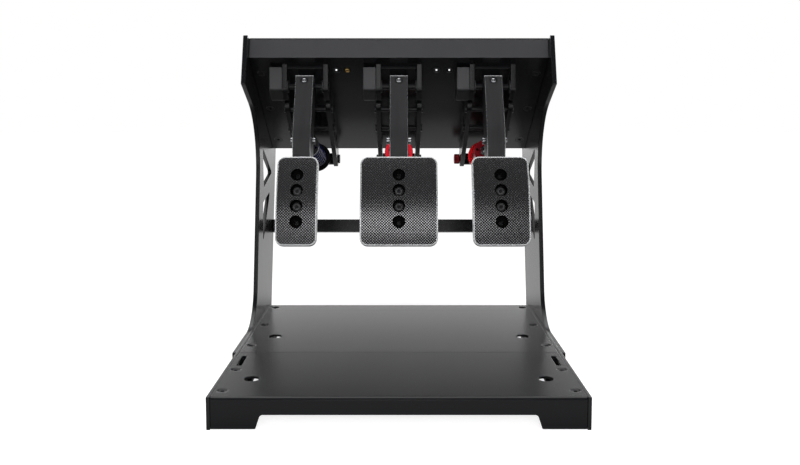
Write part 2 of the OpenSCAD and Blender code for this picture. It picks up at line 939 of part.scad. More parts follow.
module axle_bushes() {
  color("#8c7a4d")
    for (i = [0:2])
      at_pedal(i)
        both_sides()
          difference() {
            union() {
              cross_rod(yoke_in - bush_flange_t / 2, yoke_w / 2, pivot, bush_r);
              cross_rod(yoke_in - bush_flange_t, yoke_in, pivot, bush_flange_r);
            }
            cross_rod(yoke_in - 2 * over - bush_flange_t, yoke_w / 2 + over, pivot, axle_r + run_fit);
          }
}

module axle(i) {
  color("#c8cace")
    at_pedal(i)
      cross_rod(-yoke_w / 2 - sensor_w / 2, yoke_w / 2 + 1, pivot, axle_r);
}

// Truss hole with its corners at the given places along the deck
module truss_hole(u0, u1, low) {
  far = low ? cheek_v - truss_rim : truss_rim;
  near = low ? truss_rim + 2 * truss_web : cheek_v - truss_rim - 2 * truss_web;
  polygon(rounded([[u0, far], [u1, far], [(u0 + u1) / 2, near]], [1.5, 1.5, 1.5], 4));
}

module cheeks(i) {
  step = spacer_pitch;
  u0 = spacer_u;
  color("#222327")
    at_pedal(i)
      both_sides()
        difference() {
          deck_view(cheek_in / 2, cheek_t)
            polygon(rounded([
              [cheek_u, 0], [cheek_u, cheek_v], [rear_edge_u, cheek_v],
              [rear_edge_u, cheek_v / 3], [rear_edge_u - cheek_v / 2, 0]],
              [0, cheek_round, boss_r, cheek_tail_round, 0], 6));
          deck_view(cheek_in / 2 - over, cheek_t + 2 * over) {
            for (k = [0:1])
              truss_hole(u0 + step * k + 2.2 * truss_web, u0 + step * (k + 1) - 2.2 * truss_web, true);
            for (k = [0:1])
              truss_hole(u0 + step * (k + 0.5) + 2.2 * truss_web,
                u0 + step * (k + 1.5) - 2.2 * truss_web, false);
          }
          for (u = spacer_us)
            cross_rod(cheek_in / 2 - over, cheek_out + over, deck_pt(u, spacer_v), m6_r);
          cross_rod(cheek_in / 2 - over, cheek_out + over, rear_pin, rear_pin_r);
        }
}

module cheek_spacers() {
  color("#55565a")
    for (i = [0:2])
      at_pedal(i)
        for (u = spacer_us) {
          cross_rod(-cheek_in / 2, cheek_in / 2, deck_pt(u, spacer_v), spacer_r);
          both_sides() {
            cross_rod(0, cheek_out + 1, deck_pt(u, spacer_v), m6_r);
            cross_rod(cheek_out, cheek_out + button_h * 0.7, deck_pt(u, spacer_v), button_r * 0.9);
          }
        }
}

module rear_pins() {
  color("#3a3b3f")
    for (i = [0:2])
      at_pedal(i) {
        left = i == 2 ? cheek_out + move_gap + knob_w - knob_recess : cheek_out + 1;
        cross_rod(-left, cheek_out + 1, rear_pin, rear_pin_r);
        cross_rod(cheek_out, cheek_out + button_h, rear_pin, rear_head_r);
        if (i < 2)
          cross_rod(-cheek_out - button_h, -cheek_out, rear_pin, rear_head_r);
      }
}

module throttle_knob() {
  x1 = -cheek_out - move_gap;
  color("#7d1a20")
    at_pedal(2)
      translate([x1 - knob_w, rear_pin[0], rear_pin[1]])
        rotate([0, 90, 0])
          difference() {
            cylinder(h = knob_w, r = knob_r);
            translate([0, 0, -over])
              cylinder(h = knob_w + 2 * over, r = rear_pin_r + run_fit);
            for (k = [0:knob_n - 1])
              rotate([0, 0, 360 * k / knob_n])
                translate([knob_r, 0, -over])
                  cylinder(h = knob_w + 2 * over, r = knob_groove, $fn = 16);
          }
}

// Arm outline in the side view
arm_nrm = [cos(arm_lean), -sin(arm_lean)];
arm_dir = [-sin(arm_lean), -cos(arm_lean)];
low_nrm = [cos(arm_low_lean), -sin(arm_low_lean)];
low_dir = [-sin(arm_low_lean), -cos(arm_low_lean)];
arm_front = pivot - arm_nrm * (arm_d / 2);
arm_knee = arm_front + arm_dir * arm_bend;
arm_foot = arm_knee + low_dir * arm_low;
mid_nrm = unit(arm_nrm + low_nrm) / cos((arm_lean - arm_low_lean) / 2);

module arm_shape() {
  polygon(rounded([
    arm_front - arm_dir * arm_top, arm_knee, arm_foot, arm_foot + low_nrm * arm_end_d,
    arm_knee + mid_nrm * arm_d, arm_front - arm_dir * arm_top + arm_nrm * arm_d],
    [arm_corner_r, arm_knee_r, arm_corner_r, arm_heel_r, arm_knee_r - arm_d, arm_crown_r], 8));
}

module arm_hollow() {
  far = 2 * arm_d;
  polygon(rounded([
    arm_front + arm_dir * arm_hub + arm_nrm * arm_wall,
    arm_knee + mid_nrm * arm_wall,
    arm_foot + low_nrm * arm_wall - low_dir * arm_wall,
    arm_foot + low_nrm * far - low_dir * arm_wall,
    arm_knee + mid_nrm * far,
    arm_front + arm_dir * arm_hub + arm_nrm * far],
    [arm_wall, arm_knee_r - arm_wall, arm_corner_r, 0, 0, 0], 8));
}

clamp_l = (arm_d / 2 - axle_r - clamp_gap) / clamp_scale;

// Axle clamp screw: head in the front of the arm, tip close to the axle
module at_clamp(i) {
  at_pedal(i)
    translate([0, arm_front[0], arm_front[1]])
      rotate([-arm_lean, 0, 0])
        rotate([90, 0, 0])
          children();
}

module arm(i) {
  color("#303136")
    difference() {
      at_pedal(i)
        side_view(-arm_w / 2, arm_w)
          arm_shape();
      at_pedal(i)
        side_view(-arm_w / 2 + arm_wall, arm_w - 2 * arm_wall)
          arm_hollow();
      at_pedal(i)
        cross_rod(-arm_w, arm_w, pivot, axle_r);
      at_pedal(i)
        cross_rod(-arm_w, arm_w, eye, pin_r);
      at_clamp(i)
        scale(clamp_scale)
          csk_cut(clamp_l);
      pad_screw_places(i)
        translate([0, 0, -2 * arm_d])
          cylinder(h = 2 * arm_d, r = m6_r);
    }
}

module arm_bolts(i) {
  color("#d4d6da") {
    at_clamp(i)
      scale(clamp_scale)
        csk_screw(clamp_l);
    at_pedal(i) {
      cross_rod(-arm_w / 2 - 1, arm_w / 2 + 1, eye, pin_r);
      both_sides()
        cross_rod(arm_w / 2, arm_w / 2 + pin_out, eye, pin_head_r);
    }
  }
}

pad_back = [cos(pad_lean), -sin(pad_lean)];
pad_along = [sin(pad_lean), cos(pad_lean)];

module pad_carrier(i) {
  high = pad_mid + pad_back * pad_t + pad_along * carrier_l;
  low = pad_mid + pad_back * pad_t - pad_along * carrier_l;
  color("#1e1f22")
    difference() {
      at_pedal(i)
        side_view(-arm_w / 2 + 1, arm_w - 2)
          polygon([
            high, low,
            meet(low, [1, 0], arm_knee, low_dir),
            meet(high, [1, 0], arm_knee, low_dir)]);
      pad_screw_places(i)
        translate([0, 0, -2 * arm_d])
          cylinder(h = 2 * arm_d, r = m6_r);
    }
}

// Outline of a pad seen from the front, as a block from the face plane backwards
module pad_block(i, inset, t) {
  w = pad_w[i] / 2 - inset;
  up = pad_up - inset;
  low = pad_up - pad_l + inset;
  r = pad_corner - inset;
  translate([0, t, 0])
    rotate([90, 0, 0])
      linear_extrude(t)
        polygon(rounded([[-w, low], [w, low], [w, up], [-w, up]], [r, r, r, r], 8));
}

module face_drum(i, less) {
  translate([-pad_w[i], pad_face_r, 0])
    rotate([0, 90, 0])
      cylinder(h = 2 * pad_w[i], r = pad_face_r - less, $fn = 200);
}

module pad_holes(i, r, t) {
  for (k = [-1.5:1:1.5])
    translate([0, -over, k * pad_hole_pitch])
      rotate([-90, 0, 0])
        cylinder(h = t + over, r = r);
}

// Places of the pad screws: head seat at the bottom of the two middle holes, z out of the pad
module pad_screw_places(i) {
  for (k = [-0.5, 0.5])
    on_pad(i)
      translate([0, pad_hole_depth, k * pad_hole_pitch])
        rotate([90, 0, 0])
          children();
}

module pad(i) {
  color("#b9bcc1")
    on_pad(i)
      difference() {
        intersection() {
          pad_block(i, 0, pad_t);
          face_drum(i, grip_t);
        }
        pad_holes(i, pad_hole_d / 2, pad_hole_depth);
        pad_holes(i, m6_r, pad_t + over);
      }
}

module pad_grip(i) {
  color("#2b2c30")
    on_pad(i)
      difference() {
        intersection() {
          pad_block(i, grip_rim, pad_t);
          difference() {
            face_drum(i, 0);
            face_drum(i, grip_t);
          }
        }
        pad_holes(i, pad_hole_d / 2, pad_hole_depth);
      }
}

module pad_screws(i) {
  color("#18181a")
    pad_screw_places(i)
      button_screw(arm_d);
}

module strut_rod(i) {
  color("#c4c6cb")
    on_strut(i)
      difference() {
        union() {
          cross_rod(-eye_w / 2, eye_w / 2, [0, 0], eye_r);
          run(eye_r / 2, rod_end, rod_r);
        }
        cross_rod(-eye_w, eye_w, [0, 0], pin_r + eye_play);
      }
}

module spring_cup(i) {
  color(i == 0 ? "#8f9196" : "#a3161c")
    on_strut(i)
      difference() {
        union() {
          run(cup_s[i] - cup_t, cup_s[i], cup_r[i]);
          run(cup_s[i] - cup_t / 2, cup_s[i] + hub_l, hub_r);
        }
        run(cup_s[i] - cup_t - over, cup_s[i] + hub_l + over, rod_r);
        for (k = [0:3])
          rotate([0, cup_turn + 90 * k, 0])
            translate([cup_hole_at, 0, 0])
              run(cup_s[i] - cup_t - over, cup_s[i] + over, cup_hole_r);
      }
}

module trunnion(i) {
  bore_end = strut_l - boss_r - 1;
  color(i == 0 ? "#7f8186" : i == 1 ? "#2a2b2f" : "#8d171d")
    on_strut(i)
      difference() {
        union() {
          run(tube_front, strut_l, tube_r);
          cross_rod(-boss_half, boss_half, [strut_l, 0], boss_r);
          run(seat_s[i], seat_s[i] + cup_t, seat_r[i]);
          if (i == 1)
            translate([-seat_r[i] + 2, seat_s[i] + cup_t / 2, -seat_r[i] + 2])
              cube([2 * seat_r[i] - 4, bore_end - seat_s[i] - cup_t, 2 * seat_r[i] - 4]);
        }
        run(tube_front - over, bore_end, rod_r + run_fit);
        cross_rod(-boss_half - over, boss_half + over, [strut_l, 0], rear_pin_r + run_fit);
      }
}

// Coil springs as one tube along a helix. The first and last turns lie close.
rings = 8;
sides = 6;
function coil_z(t, n, w, l) =
  let (
    close = w * 1.2,
    open = (l - w - 2 * close) / (n - 2)
  )
  w / 2 + (t < 1 ? t * close : t < n - 1 ? close + (t - 1) * open : l - w - (n - t) * close);
function coil_at(t, k, l) = [
  coil_r[k] * cos(360 * t), coil_r[k] * sin(360 * t), coil_z(t, coil_n[k], wire_d[k], l)];
function coil_path(k, l) =
  let (
    m = rings * coil_n[k],
    path = [for (i = [0:m]) coil_at(i / rings, k, l)],
    first = path[0] + [0, -wire_d[k], 0],
    last = path[m] + wire_d[k] * [-sin(360 * coil_n[k]), cos(360 * coil_n[k]), 0]
  )
  concat([first], path, [last]);
function coil_gap(path, w) =
  min([for (i = [0:len(path) - 1]) for (j = [i + 6:1:len(path) - 1]) norm(path[i] - path[j])]) - w;

module coil(k, l) {
  path = coil_path(k, l);
  m = len(path);
  echo(str("coil ", k, " least gap to itself ", coil_gap(path, wire_d[k])));
  rows = [for (i = [0:m - 1])
    let (
      a = path[max(i - 1, 0)],
      b = path[min(i + 1, m - 1)],
      t = unit(b - a),
      out = unit(cross(t, [0, 0, 1])),
      up = cross(out, t)
    )
    [for (s = [0:sides - 1])
      path[i] + wire_d[k] / 2 * (out * cos(360 * s / sides) + up * sin(360 * s / sides))]];
  pts = [for (r = rows) each r];
  walls = [for (i = [0:m - 2]) for (s = [0:sides - 1])
    let (
      a = i * sides + s,
      b = i * sides + (s + 1) % sides
    )
    each [[a, b, b + sides], [a, b + sides, a + sides]]];
  ends = [[for (s = [0:sides - 1]) sides - 1 - s], [for (s = [0:sides - 1]) (m - 1) * sides + s]];
  polyhedron(pts, concat(walls, ends), convexity = 10);
}

module spring(i) {
  s0 = cup_s[i] + seat_gap;
  s1 = seat_s[i] - seat_gap;
  if (i == 1)
    elastomer_stack(i, s0, s1);
  else
    color(i == 0 ? "#1d2b57" : "#8a8c91")
      on_strut(i)
        translate([0, s0, 0])
          rotate([-90, 0, 0])
            coil(i / 2, s1 - s0);
}

module elastomer_stack(i, s0, s1) {
  ring_l = (s1 - s0 - (elast_n - 1) * washer_t) / elast_n;
  color("#3b3d42")
    on_strut(i)
      difference() {
        union() {
          for (k = [0:elast_n - 1])
            run(s0 + k * (ring_l + washer_t), s0 + k * (ring_l + washer_t) + ring_l, elast_r);
          run(s0 + ring_l / 2, s1 - ring_l / 2, elast_r - 2);
        }
        run(s0 - over, s1 + over, hub_r + seat_gap);
      }
}

module placed() {
  translate([0, -depth / 2, 0])
    children();
}

placed() heel_plate();
placed() floor_plate();
placed() base_rail_left();
placed() base_rail_right();
placed() countersunk_screws();
placed() side_panel_left();
placed() side_panel_right();
placed() frame_bolts();
placed() cross_bar();
placed() deck();
placed() deck_cover();
placed() control_board();
placed() sensitivity_dial();
placed() axle_bushes();
placed() rear_pins();
placed() cheek_spacers();
placed() throttle_knob();

for (i = [0:2]) {
  placed() yoke(i);
  placed() sensor_housing(i);
  placed() cheeks(i);
  placed() axle(i);
  placed() arm(i);
  placed() pad_carrier(i);
  placed() pad(i);
  placed() pad_grip(i);
  placed() pad_screws(i);
  placed() arm_bolts(i);
  placed() strut_rod(i);
  placed() spring_cup(i);
  placed() trunnion(i);
  placed() spring(i);
}
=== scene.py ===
"""Looks of a hanging three-pedal set for sim racing.

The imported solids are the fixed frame. Sub-assembly classes give each of them its finish and softened edges,
and build the pieces whose surface is finer than the solid's: coils, pad grips, threads, knob and sockets.
Lengths are written in millimetres and turned into metres by MM, unless a docstring says metres. BEYOND is a
distance in metres that no piece reaches.
"""

import json
import logging
import math
from collections.abc import Callable
from dataclasses import dataclass, replace
from enum import Enum

import bmesh
import bpy
import numpy as np
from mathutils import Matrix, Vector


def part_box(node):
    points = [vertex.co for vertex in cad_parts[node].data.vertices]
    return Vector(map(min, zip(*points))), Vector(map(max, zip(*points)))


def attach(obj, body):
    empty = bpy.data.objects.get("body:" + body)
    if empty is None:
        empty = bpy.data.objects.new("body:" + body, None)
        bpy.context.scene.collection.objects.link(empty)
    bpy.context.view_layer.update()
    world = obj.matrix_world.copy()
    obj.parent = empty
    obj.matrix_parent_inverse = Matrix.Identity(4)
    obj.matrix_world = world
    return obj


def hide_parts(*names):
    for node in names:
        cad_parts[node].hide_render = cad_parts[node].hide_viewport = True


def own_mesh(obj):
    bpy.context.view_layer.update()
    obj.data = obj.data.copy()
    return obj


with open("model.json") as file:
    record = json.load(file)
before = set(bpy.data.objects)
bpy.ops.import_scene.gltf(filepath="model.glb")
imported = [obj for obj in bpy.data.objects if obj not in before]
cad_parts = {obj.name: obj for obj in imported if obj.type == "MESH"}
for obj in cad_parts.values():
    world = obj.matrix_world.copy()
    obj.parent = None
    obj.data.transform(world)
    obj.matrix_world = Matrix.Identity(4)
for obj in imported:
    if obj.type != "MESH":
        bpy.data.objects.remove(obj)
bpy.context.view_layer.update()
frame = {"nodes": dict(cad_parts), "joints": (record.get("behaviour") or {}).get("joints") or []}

LOG = logging.getLogger("pedal_set")
MM = 0.001
JOIN_MM = 0.002
DOUBLE_MM = 0.0005
FLAT_DEGREES = 0.4
CREASE_DEGREES = 30.0
NOISE_ROUGHNESS = 0.55
BROAD_DETAIL = 3.0
BEYOND = 1.0
RIGHT = np.array([1.0, 0.0, 0.0])
Colour = tuple[float, float, float]
Point = tuple[float, float, float]
Span = tuple[float, float]
Value = "Shade | float"


class Shade:
    """One output socket of a node tree, used in expressions that add Math nodes."""

    def __init__(self, graph: "Graph", socket: bpy.types.NodeSocket | None) -> None:
        """Keep the graph that the socket belongs to."""
        self.graph = graph
        self.socket = socket

    def _math(self, operation: str, first: Value, second: Value) -> "Shade":
        """Add one Math node."""
        return self.graph.node("ShaderNodeMath", {"operation": operation}, {0: first, 1: second})

    def __add__(self, other: Value) -> "Shade":
        """Sum of two values."""
        return self._math("ADD", self, other)

    def __radd__(self, other: Value) -> "Shade":
        """Sum with the number first."""
        return self._math("ADD", other, self)

    def __sub__(self, other: Value) -> "Shade":
        """Difference of two values."""
        return self._math("SUBTRACT", self, other)

    def __rsub__(self, other: Value) -> "Shade":
        """Difference with the number first."""
        return self._math("SUBTRACT", other, self)

    def __mul__(self, other: Value) -> "Shade":
        """Product of two values."""
        return self._math("MULTIPLY", self, other)

    def __rmul__(self, other: Value) -> "Shade":
        """Product with the number first."""
        return self._math("MULTIPLY", other, self)

    def size(self) -> "Shade":
        """The value without its sign."""
        return self._math("ABSOLUTE", self, 0.0)

    def larger(self, other: Value) -> "Shade":
        """The larger of two values."""
        return self._math("MAXIMUM", self, other)

    def over(self, limit: float) -> "Shade":
        """1 where the value is over a limit, 0 elsewhere."""
        return self._math("GREATER_THAN", self, limit)

    def step(self, low: float, high: float) -> "Shade":
        """Smooth step from 0 at low to 1 at high.

        Args:
            low: Value at which the step starts.
            high: Value at which it ends.

        Returns:
            The step.
        """
        return self.graph.node(
            "ShaderNodeMapRange",
            {"interpolation_type": "SMOOTHSTEP"},
            {"Value": self, "From Min": low, "From Max": high},
        )


class Graph:
    """The nodes of one material, world or geometry group."""

    def __init__(self, tree: bpy.types.NodeTree) -> None:
        """Start from an empty tree."""
        self.tree = tree
        tree.nodes.clear()

    def node(
        self,
        kind: str,
        settings: dict | None = None,
        inputs: dict | None = None,
        output: int | str = 0,
    ) -> Shade:
        """Add a node.

        Args:
            kind: Blender's name of the node type.
            settings: Properties of the node, set before its sockets.
            inputs: Values or linked sockets by name or index.
            output: The output that is handed on.

        Returns:
            The chosen output socket, empty on an output node.
        """
        made = self.tree.nodes.new(kind)
        for name, value in (settings or {}).items():
            setattr(made, name, value)
        for key, value in (inputs or {}).items():
            if isinstance(value, Shade):
                self.tree.links.new(value.socket, made.inputs[key])
            else:
                made.inputs[key].default_value = value
        return Shade(self, made.outputs[output] if made.outputs else None)

    def place(self, scale: Point = (1, 1, 1)) -> Shade:
        """Object coordinates, scaled."""
        coords = self.node("ShaderNodeTexCoord", output="Object")
        return self.node("ShaderNodeMapping", inputs={"Vector": coords, "Scale": scale})

    def along(self, direction: Point) -> Shade:
        """Distance along a direction, in metres from the origin.

        Args:
            direction: Unit direction.

        Returns:
            The distance.
        """
        coords = self.node("ShaderNodeTexCoord", output="Object")
        return self.node(
            "ShaderNodeVectorMath", {"operation": "DOT_PRODUCT"}, {0: coords, 1: direction}, output="Value"
        )

    def noise(self, coords: Shade, scale: float, detail: float = 2.0) -> Shade:
        """Noise from 0 to 1 with a number of features per metre.

        Args:
            coords: Coordinates that the noise is read at.
            scale: Features per metre.
            detail: Number of finer layers.

        Returns:
            The noise.
        """
        return self.node(
            "ShaderNodeTexNoise",
            inputs={"Vector": coords, "Scale": scale, "Detail": detail, "Roughness": NOISE_ROUGHNESS},
        )

    def mix(self, factor: Value, first: "Shade | Colour", second: "Shade | Colour") -> Shade:
        """Blend of two colours.

        Args:
            factor: Share of the second colour.
            first: Colour at 0.
            second: Colour at 1.

        Returns:
            The blended colour.
        """
        ends = [c if isinstance(c, Shade) else (*c, 1.0) for c in (first, second)]
        return self.node(
            "ShaderNodeMix", {"data_type": "RGBA"}, {0: factor, 6: ends[0], 7: ends[1]}, output=2
        )


@dataclass(frozen=True)
class Grain:
    """How a finish varies over its surface.

    tone brightens and darkens the colour round 0.5, gloss does so to the roughness, height feeds the bump.
    """

    tone: Shade
    gloss: Shade
    height: Shade


@dataclass(frozen=True)
class Band:
    """Stretch along a direction that keeps a finish's colour, with another colour outside.

    Stations are in metres from the origin, and so is the blur at both ends.
    """

    direction: Point
    start: float
    end: float
    rest_colour: Colour = (0.01, 0.01, 0.011)
    blur: float = 0.2 * MM

    def inside(self, graph: Graph) -> Shade:
        """1 between the stations, 0 outside.

        Args:
            graph: The nodes that it is added to.

        Returns:
            The mask.
        """
        along = graph.along(self.direction)
        begun = along.step(self.start - self.blur, self.start)
        return begun * (1 - along.step(self.end, self.end + self.blur))


@dataclass(frozen=True)
class Finish:
    """An even surface finish with a fine grain, and the base of the other finishes.

    tone_swing is a share of the colour, gloss_swing a step of the roughness, bump_depth is in millimetres, and
    broad_grains is the number of fine grains in a broad one.
    """

    name: str
    slot: str
    colour: Colour
    roughness: float
    metallic: float = 0.0
    specular: float = 0.5
    coat: float = 0.0
    coat_roughness: float = 0.12
    tone_swing: float = 0.12
    gloss_swing: float = 0.10
    bump_depth: float = 0.02
    grains_per_m: float = 900.0
    broad_grains: float = 60.0
    glow: float = 0.0
    band: Band | None = None

    def grain(self, graph: Graph) -> Grain:
        """Even fine grain, as on powder coat and moulded plastic.

        Args:
            graph: The nodes that it is added to.

        Returns:
            The grain.
        """
        place = graph.place()
        fine = graph.noise(place, self.grains_per_m)
        broad = graph.noise(place, self.grains_per_m / self.broad_grains, BROAD_DETAIL)
        return Grain(tone=broad, gloss=(fine + broad) * 0.5, height=fine)

    def colours(self, graph: Graph, grain: Grain) -> Shade:
        """Base colour, lighter and darker with the grain, in its band if it has one.

        Args:
            graph: The nodes that it is added to.
            grain: The grain of the finish.

        Returns:
            The colour.
        """
        dark = tuple(c * (1 - self.tone_swing) for c in self.colour)
        light = tuple(c * (1 + self.tone_swing) for c in self.colour)
        toned = graph.mix(grain.tone, dark, light)
        return graph.mix(self.band.inside(graph), self.band.rest_colour, toned) if self.band else toned

    def material(self) -> bpy.types.Material:
        """Make the material, or hand back the one made before.

        Returns:
            The material.
        """
        known = bpy.data.materials.get(self.name)
        if known:
            return known
        made = bpy.data.materials.new(self.name)
        made.use_nodes = True
        graph = Graph(made.node_tree)
        grain = self.grain(graph)
        bump = graph.node(
            "ShaderNodeBump", inputs={"Height": grain.height, "Distance": self.bump_depth * MM, "Strength": 1.0}
        )
        shader = graph.node(
            "ShaderNodeBsdfPrincipled",
            inputs={
                "Base Color": self.colours(graph, grain),
                "Roughness": (grain.gloss - 0.5) * (2 * self.gloss_swing) + self.roughness,
                "Metallic": self.metallic,
                "Specular IOR Level": self.specular,
                "Coat Weight": self.coat,
                "Coat Roughness": self.coat_roughness,
                "Emission Color": (*self.colour, 1.0),
                "Emission Strength": self.glow,
                "Normal": bump,
            },
        )
        graph.node("ShaderNodeOutputMaterial", inputs={"Surface": shader})
        made.diffuse_color = (*self.colour, 1.0)
        return made


class Brushing(Enum):
    """The way that a metal is brushed, as the scale of its grain in each direction."""

    LENGTHWISE = (1.0, 0.03, 0.03)
    CROSSWISE = (0.04, 1.0, 1.0)


@dataclass(frozen=True)
class Brushed(Finish):
    """Metal brushed along one direction: long streaks, short across."""

    broad_grains: float = 5.0
    way: Brushing = Brushing.LENGTHWISE

    def grain(self, graph: Graph) -> Grain:
        """Streaks drawn out along the brushing.

        Args:
            graph: The nodes that it is added to.

        Returns:
            The grain.
        """
        place = graph.place(self.way.value)
        fine = graph.noise(place, self.grains_per_m)
        broad = graph.noise(place, self.grains_per_m / self.broad_grains, BROAD_DETAIL)
        return Grain(tone=(fine + broad) * 0.5, gloss=broad, height=fine)


@dataclass(frozen=True)
class PaintedShadeHoles(Brushed):
    """Bare metal whose bored holes, all in one band, are painted black inside as painted shade.

    Places are in metres: the band's middle across, its half width, its middle and half length along upward, and
    the blur of its outline.
    """

    middle_x: float = 0.0
    half_w: float = 0.0
    upward: Point = (0.0, 0.0, 1.0)
    middle: float = 0.0
    half_l: float = 0.0
    blur: float = 0.1 * MM
    # Near black inside the holes: painted shade.
    hole_shade_colour: Colour = (0.004, 0.004, 0.004)

    def bare(self, graph: Graph) -> Shade:
        """1 on bare metal, 0 in the band of holes.

        Args:
            graph: The nodes that it is added to.

        Returns:
            The mask.
        """
        across = (graph.along((1.0, 0.0, 0.0)) - self.middle_x).size() - self.half_w
        length = (graph.along(self.upward) - self.middle).size() - self.half_l
        return across.larger(length).step(-self.blur, self.blur)

    def colours(self, graph: Graph, grain: Grain) -> Shade:
        """Metal outside the band, painted shade inside it."""
        return graph.mix(self.bare(graph), self.hole_shade_colour, Finish.colours(self, graph, grain))


POWDER_COAT = Finish(
    "satin_powder_coat", "black_powder_coat", (0.0044, 0.0046, 0.0053), 0.24, gloss_swing=0.03, bump_depth=0.004
)
HEEL_COAT = replace(POWDER_COAT, name="heel_powder_coat", specular=0.33)
BLACK_STEEL = Finish("black_oxide_steel", "black_screws", (0.010, 0.010, 0.011), 0.32, bump_depth=0.006)
# Lighter copy of the black screw finish for the pad's screw heads: painted light on them deep in their holes.
PAD_SCREW_PAINTED_LIGHT = Finish(
    "worn_black_screws", "black_screws", (0.036, 0.036, 0.038), 0.38, specular=0.4, bump_depth=0.006
)
DARK_STEEL = Finish(
    "dark_axle_steel", "black_screws", (0.006, 0.006, 0.007), 0.15, specular=0.3, gloss_swing=0.04,
    bump_depth=0.002,
)
BLACK_PLASTIC = Finish("moulded_black_plastic", "black_plastic", (0.015, 0.015, 0.016), 0.42, specular=0.45)
# Lighter copy of the black plastic for the sensor housings: painted light on their upper faces.
SENSOR_GREY = replace(BLACK_PLASTIC, name="moulded_grey_plastic", colour=(0.030, 0.030, 0.032))
# Near-black plastic: the real rims of the deck's sockets, and painted shade in the pad screws' sockets and round
# the clamp screws.
BLACK_PLASTIC_AND_SHADE = Finish("socket_plastic", "black_plastic", (0.006, 0.006, 0.007), 0.30, bump_depth=0.01)
ARM_BLACK = Brushed(
    "brushed_black_anodised", "black_anodised", (0.015, 0.015, 0.016), 0.40, specular=0.28, tone_swing=0.35,
    gloss_swing=0.12, bump_depth=0.01, grains_per_m=1400.0,
)
BARE_EDGE = Finish(
    "bare_aluminium_edge", "bare_aluminium", (0.66, 0.67, 0.69), 0.28, 1.0, gloss_swing=0.06, bump_depth=0.004
)
GRIP_DARK = Finish(
    "dark_knurled_grip", "dark_grip", (0.56, 0.56, 0.575), 0.22, 1.0, gloss_swing=0.06, bump_depth=0.004
)
# Matte near black for the sides of the grip's pyramids: painted shade in the grooves.
GROOVE_PAINTED_SHADE = Finish(
    "black_grip_groove", "dark_grip", (0.015, 0.015, 0.016), 0.55, specular=0.10, bump_depth=0.006
)
STEEL = Finish("bright_steel", "steel", (0.56, 0.57, 0.59), 0.24, 1.0, gloss_swing=0.08, bump_depth=0.004)
BRASS = Finish("turned_brass", "brass", (0.74, 0.50, 0.18), 0.25, 1.0, gloss_swing=0.08, bump_depth=0.004)
RED = Finish(
    "red_anodised", "red_anodised", (0.92, 0.012, 0.020), 0.18, 0.80, gloss_swing=0.04, bump_depth=0.005
)
# Darker copy of the red anodising for the brake's cups: painted shade.
BRAKE_RED_PAINTED_SHADE = replace(RED, name="brake_red_anodised", colour=(0.50, 0.006, 0.016))
DARK_RED = Finish(
    "dark_red_anodised", "red_anodised", (0.24, 0.008, 0.013), 0.30, 0.5, gloss_swing=0.08, bump_depth=0.005
)
GREY = Finish(
    "grey_anodised", "grey_anodised", (0.30, 0.31, 0.33), 0.34, 0.9, gloss_swing=0.08, bump_depth=0.005
)
BLUE = Finish("blue_spring_coat", "blue_spring", (0.0035, 0.0075, 0.050), 0.22, coat=0.4, bump_depth=0.006)
# Light pin that glows a little: its glow is a painted glint.
GLOWING_PIN = Finish(
    "bright_centre_pin", "steel", (0.92, 0.92, 0.92), 0.40, gloss_swing=0.05, bump_depth=0.004, glow=0.7
)
RUBBER = Finish("dark_elastomer", "elastomer", (0.030, 0.030, 0.033), 0.62, specular=0.35, bump_depth=0.03)


@dataclass(frozen=True)
class EdgeSoftening:
    """How the sharp edges of a solid are broken.

    width and shortest are in millimetres, angle in degrees. Edges under the shortest length stay sharp. bare names
    a finish that shows on the broken edge.
    """

    width: float
    segments: int
    angle: float = 28.0
    bare: Finish | None = None
    shortest: float = 0.0

    def long_edges(self, graph: Graph, shape: Shade) -> Shade:
        """Mark the edges to break: folded by the angle or more, and long enough.

        Args:
            graph: The nodes that it is added to.
            shape: The shape that comes in.

        Returns:
            The shape with a bevel weight of 1 on these edges.
        """
        ends = [graph.node("GeometryNodeInputMeshEdgeVertices", output=f"Position {k}") for k in (1, 2)]
        span = graph.node(
            "ShaderNodeVectorMath", {"operation": "DISTANCE"}, {0: ends[0], 1: ends[1]}, output="Value"
        )
        fold = graph.node("GeometryNodeInputMeshEdgeAngle", output="Unsigned Angle")
        chosen = span.over(self.shortest * MM) * fold.over(math.radians(self.angle))
        return graph.node(
            "GeometryNodeStoreNamedAttribute",
            {"domain": "EDGE"},
            {"Geometry": shape, "Name": "bevel_weight_edge", "Value": chosen},
        )


SHEET_EDGE = EdgeSoftening(0.6, 3)
SMALL_EDGE = EdgeSoftening(0.25, 2)
PLATE_EDGE = EdgeSoftening(0.8, 3)
YOKE_EDGE = EdgeSoftening(0.7, 3)
CHEEK_EDGE = EdgeSoftening(0.5, 2)
SHELL_EDGE = EdgeSoftening(1.0, 3)
ARM_EDGE = EdgeSoftening(1.0, 2, bare=BARE_EDGE, shortest=4.0)


def shape_nodes(name: str, change: Callable[[Graph, Shade], Shade]) -> bpy.types.NodeTree:
    """Geometry nodes that change a solid as it is shown, and leave its mesh alone.

    Args:
        name: Name of the node group, which is made once.
        change: Adds nodes behind the shape that comes in, and hands back the shape that goes out.

    Returns:
        The node group.
    """
    known = bpy.data.node_groups.get(name)
    if known:
        return known
    tree = bpy.data.node_groups.new(name, "GeometryNodeTree")
    for way in ("INPUT", "OUTPUT"):
        tree.interface.new_socket("Geometry", in_out=way, socket_type="NodeSocketGeometry")
    graph = Graph(tree)
    graph.node("NodeGroupOutput", inputs={0: change(graph, graph.node("NodeGroupInput"))})
    return tree


